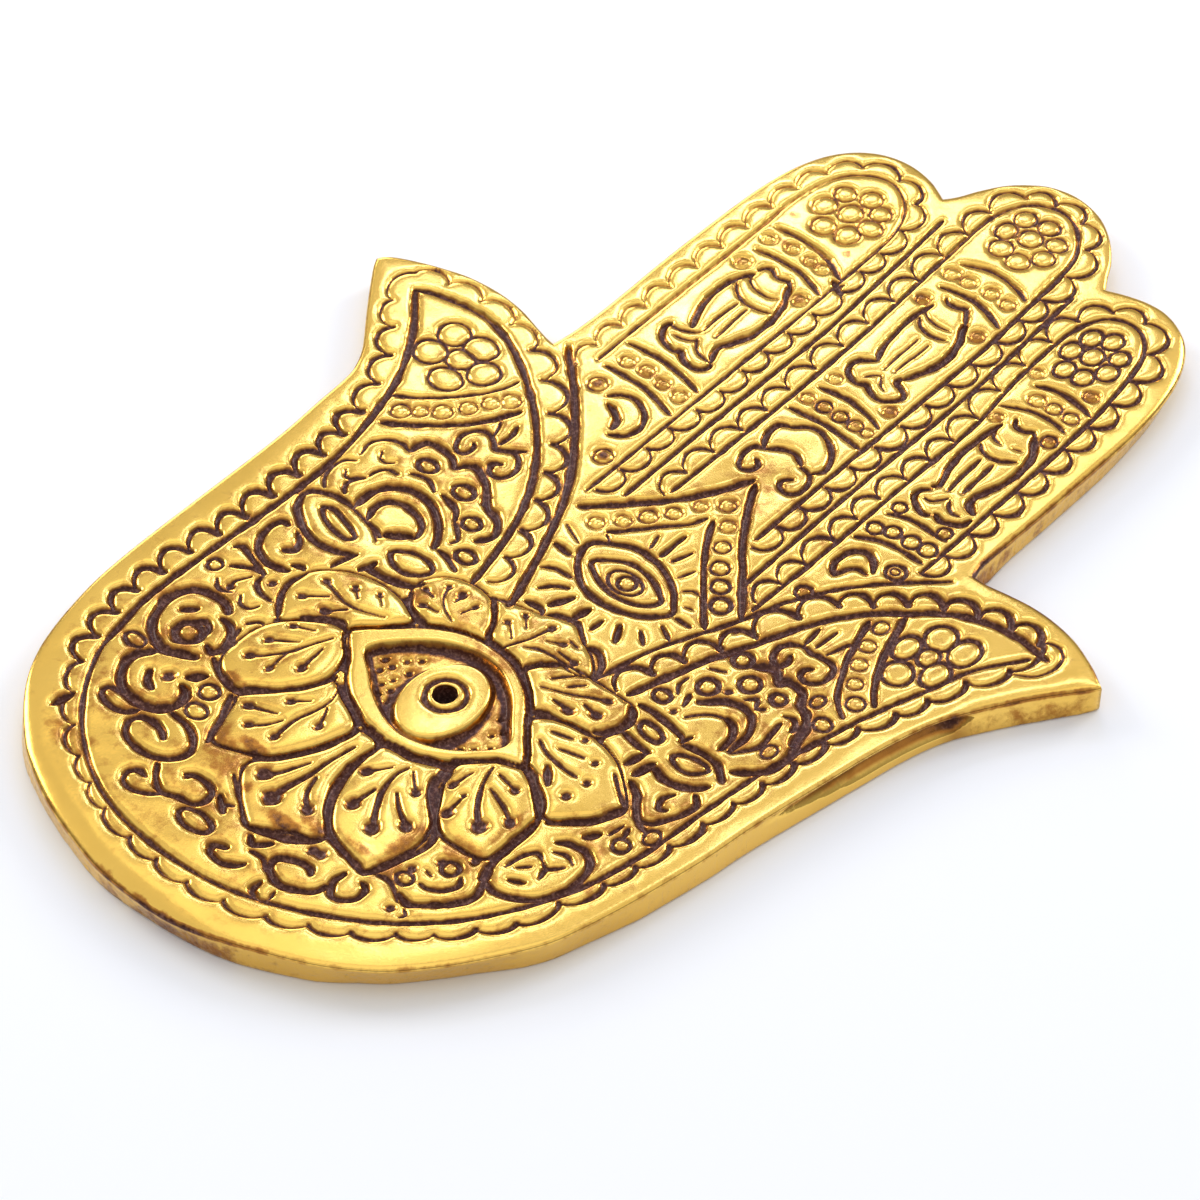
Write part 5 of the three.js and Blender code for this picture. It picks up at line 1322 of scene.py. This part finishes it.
def fit_rim(flat, height, rim, band, corners):
    """Moves the rim onto the band, with a point on each of its corners; returns the places on the band."""
    count = len(band)
    place = np.unwrap(nearest_on(band, flat[rim]), period=count)
    for corner in corners:
        place[np.abs((place - corner + count / 2) % count - count / 2).argmin()] = corner
    place %= count
    flat[rim] = at_place(band, place)
    height[rim] = -edge_drop(*flat[rim].T)
    return place


def make_casting():
    """The whole hand: chased face, wall, flat back and the drilled hole for the stick."""
    run, out, middle, corners = outline_run()
    band = run - out * rim_band_share
    sheet = Sheet(run.min(0) - sheet_margin_share, run.max(0) + sheet_margin_share, cell_share)
    relief = work_relief(sheet, band)
    across, up = np.meshgrid(sheet.x, sheet.y)
    hole, hole_radius = np.array(hole_share[:2]), hole_share[2]
    mouth = hole_radius + hole_mouth_share
    kept = sheet.inside(band) & (np.hypot(across - hole[0], up - hole[1]) > mouth)
    faces = sheet_faces(sheet, leaves_of(sheet, relief, kept))
    loops = edge_loops(faces)
    grid_ids = np.unique(faces[faces >= 0])
    to_skin = np.full(relief.size, -1)
    to_skin[grid_ids] = np.arange(len(grid_ids))
    flat = np.column_stack([across.ravel()[grid_ids], up.ravel()[grid_ids]])
    height = relief.ravel()[grid_ids]
    rim, bore = to_skin[loops[0]], to_skin[loops[1]]
    place = fit_rim(flat, height, rim, band, corners)
    ray = flat[bore] - hole
    ray /= np.hypot(*ray.T)[:, None]
    flat[bore] = hole + ray * mouth
    bore_top = height[bore].mean()
    height[bore] = bore_top
    skin = Skin()
    skin.add(flat, height, sheet.patina_and_shade.ravel()[grid_ids], 0)
    skin.faces.append(np.where(faces >= 0, to_skin[faces], -1))
    rough = rough_share * np.random.default_rng(rough_seed).standard_normal((rough_rings, len(rim)))
    rough = -np.abs(sum(np.roll(rough, k, axis=1) for k in range(-3, 4)) / 4)
    foot = skin.go_down(rim, wall_rings(run, out, place, rough))
    back = skin.go_down(bore, bore_rings(hole, ray, hole_radius, bore_top))
    skin.close_back([foot, back])

    def to_frame(points):
        moved = (points + (-middle[0], -middle[1], plate_share)) * hundredth
        return np.clip(moved, NODE_LOW, NODE_HIGH)

    casting = bpy.data.objects.new("hand", skin.mesh("hand", to_frame))
    bpy.context.scene.collection.objects.link(casting)
    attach(casting, "root")
    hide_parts("hand_casting")
    return casting, middle


class Nodes:
    """Short ways to add and join shader nodes in one material."""

    def __init__(self, name):
        self.material = bpy.data.materials.new(name)
        self.material.use_nodes = True
        self.tree = self.material.node_tree
        self.shader = self.tree.nodes["Principled BSDF"]

    def join(self, node, inputs):
        """Gives each input its value, or links it where the value comes from another node."""
        for socket, value in inputs.items():
            if isinstance(value, bpy.types.NodeSocket):
                self.tree.links.new(value, node.inputs[socket])
            else:
                node.inputs[socket].default_value = value

    def add(self, kind, inputs=(), **settings):
        node = self.tree.nodes.new(kind)
        for key, value in settings.items():
            setattr(node, key, value)
        self.join(node, dict(inputs))
        return node

    def attribute(self, name):
        return self.add("ShaderNodeAttribute", attribute_name=name).outputs["Fac"]

    def noise(self, scale, detail=4.0, rough=0.6):
        place = self.add("ShaderNodeTexCoord").outputs["Object"]
        inputs = {"Vector": place, "Scale": scale, "Detail": detail, "Roughness": rough}
        return self.add("ShaderNodeTexNoise", inputs).outputs["Fac"]

    def span(self, value, low, high, to_low=0.0, to_high=1.0):
        inputs = {"Value": value, "From Min": low, "From Max": high, "To Min": to_low, "To Max": to_high}
        node = self.add("ShaderNodeMapRange", inputs, clamp=True, interpolation_type="SMOOTHSTEP")
        return node.outputs["Result"]

    def sum(self, operation, a, b):
        return self.add("ShaderNodeMath", {0: a, 1: b}, operation=operation).outputs["Value"]

    def blend(self, share, a, b):
        return self.add("ShaderNodeMix", {0: share, 6: a, 7: b}, data_type="RGBA").outputs[2]


def gold_material():
    """Satin gold with brown patina in the lines, amber at their edges, painted shade and painted glints,
    and a rougher cast wall.
    """
    n = Nodes("patinated_gold")
    per_metre = 1 / (hundredth * 100)
    # The patina attribute holds the patina together with painted shade
    patina_and_shade = n.attribute("patina_and_shade")
    cast = n.attribute("cast")
    broad = n.noise(4 * per_metre, 3)
    grain = n.noise(60 * per_metre, 5, 0.65)
    speckle = n.noise(220 * per_metre, 4, 0.7)
    gold = n.blend(n.span(broad, 0.35, 0.65), gold_deep, gold_pale)
    uneven = n.sum("MULTIPLY", n.span(grain, 0.25, 0.75, -0.2, 0.2), n.span(cast, -1.0, 0.0, 0.15, 1.0))
    patina_shade_level = n.sum("ADD", patina_and_shade, uneven)
    amber = n.blend(n.span(patina_shade_level, 0.08, 0.45), gold, amber_brown)
    # Painted highlight: lighter specks in the dark patina stand for glints along the grooves' bottoms
    dark = n.blend(n.span(speckle, 0.45, 0.75), patina_dark, patina_glint)
    satin = n.span(grain, 0.25, 0.75, 0.13, 0.2)
    height = n.sum("ADD", n.sum("MULTIPLY", grain, 0.6), n.sum("MULTIPLY", speckle, 0.4))
    strong = n.span(cast, 0.0, 1.0, 0.05, 0.3)
    bump_inputs = {"Height": height, "Strength": strong, "Distance": bump_share * hundredth}
    bump = n.add("ShaderNodeBump", bump_inputs)
    n.join(n.shader, {
        "Base Color": n.blend(n.span(patina_shade_level, 0.4, 0.72), amber, dark),
        "Metallic": n.span(patina_shade_level, 0.4, 0.8, 1.0, 0.1),
        "Specular IOR Level": 0.15,
        "Coat Weight": 0.12,
        "Coat Roughness": 0.18,
        "Roughness": n.sum("ADD", satin, n.span(patina_shade_level, 0.3, 0.8, 0.0, 0.2)),
        "Normal": bump.outputs["Normal"],
    })
    return n.material


def floor_material():
    n = Nodes("white_floor")
    n.join(n.shader, {"Base Color": n.blend(n.noise(6, 2), floor_low, floor_high), "Roughness": 0.9})
    return n.material


def make_floor():
    """Pale round floor that reaches far past the view."""
    mesh = bpy.data.meshes.new("floor")
    turn = np.linspace(0, 2 * math.pi, 49)[:-1]
    radius = floor_hand_lengths * (NODE_HIGH.y - NODE_LOW.y)
    level = -floor_drop_share * hundredth
    points = [(radius * math.cos(t), radius * math.sin(t), level) for t in turn]
    mesh.from_pydata(points, [], [list(range(len(points)))])
    floor = bpy.data.objects.new("floor", mesh)
    floor.data.materials.append(floor_material())
    bpy.context.scene.collection.objects.link(floor)


def direction(azimuth, elevation):
    """Way from the object at these angles in degrees; azimuth 0 is on the heel's side."""
    a, e = math.radians(azimuth), math.radians(elevation)
    return Vector((math.sin(a) * math.cos(e), -math.cos(a) * math.cos(e), math.sin(e)))


def add_light(name, azimuth, elevation, distance, size, power, colour):
    """Soft square lamp that faces the middle of the plate."""
    data = bpy.data.lights.new(name, "AREA")
    data.size = size * hundredth
    data.energy = power
    data.color = colour
    lamp = bpy.data.objects.new(name, data)
    way = direction(azimuth, elevation)
    lamp.location = way * (distance * hundredth)
    lamp.rotation_euler = (-way).to_track_quat("-Z", "Y").to_euler()
    bpy.context.scene.collection.objects.link(lamp)


def make_camera(middle):
    """Camera at the photograph's angle, aimed at a place on the rim's level."""
    x, y = camera_aim_share
    aim = Vector((x - middle[0], y - middle[1], plate_share)) * hundredth
    back = direction(camera_azimuth, camera_elevation)
    data = bpy.data.cameras.new("camera")
    data.sensor_width = camera_sensor
    data.lens = camera_lens
    data.clip_start, data.clip_end = camera_clip
    camera = bpy.data.objects.new("camera", data)
    camera.location = aim + back * (camera_distance_share * hundredth)
    camera.rotation_euler = (-back).to_track_quat("-Z", "Y").to_euler()
    bpy.context.scene.collection.objects.link(camera)
    bpy.context.scene.camera = camera


def make_world():
    """Grey studio sky, brighter above."""
    world = bpy.data.worlds.new("studio")
    world.use_nodes = True
    tree = world.node_tree
    sky = tree.nodes["Background"]
    way = tree.nodes.new("ShaderNodeTexCoord")
    parts = tree.nodes.new("ShaderNodeSeparateXYZ")
    ramp = tree.nodes.new("ShaderNodeValToRGB")
    tree.links.new(way.outputs["Generated"], parts.inputs["Vector"])
    tree.links.new(parts.outputs["Z"], ramp.inputs["Fac"])
    tree.links.new(ramp.outputs["Color"], sky.inputs["Color"])
    while len(ramp.color_ramp.elements) < len(sky_levels):
        ramp.color_ramp.elements.new(0.5)
    for element, (height, bright) in zip(ramp.color_ramp.elements, sky_levels):
        element.position = height
        element.color = (bright, bright, bright, 1)
    bpy.context.scene.world = world


casting, middle = make_casting()
casting.data.materials.append(gold_material())
make_floor()
make_camera(middle)
make_world()
for name, lamp in lamp_shares.items():
    add_light(name, *lamp)
bpy.context.scene.view_settings.view_transform = "Standard"
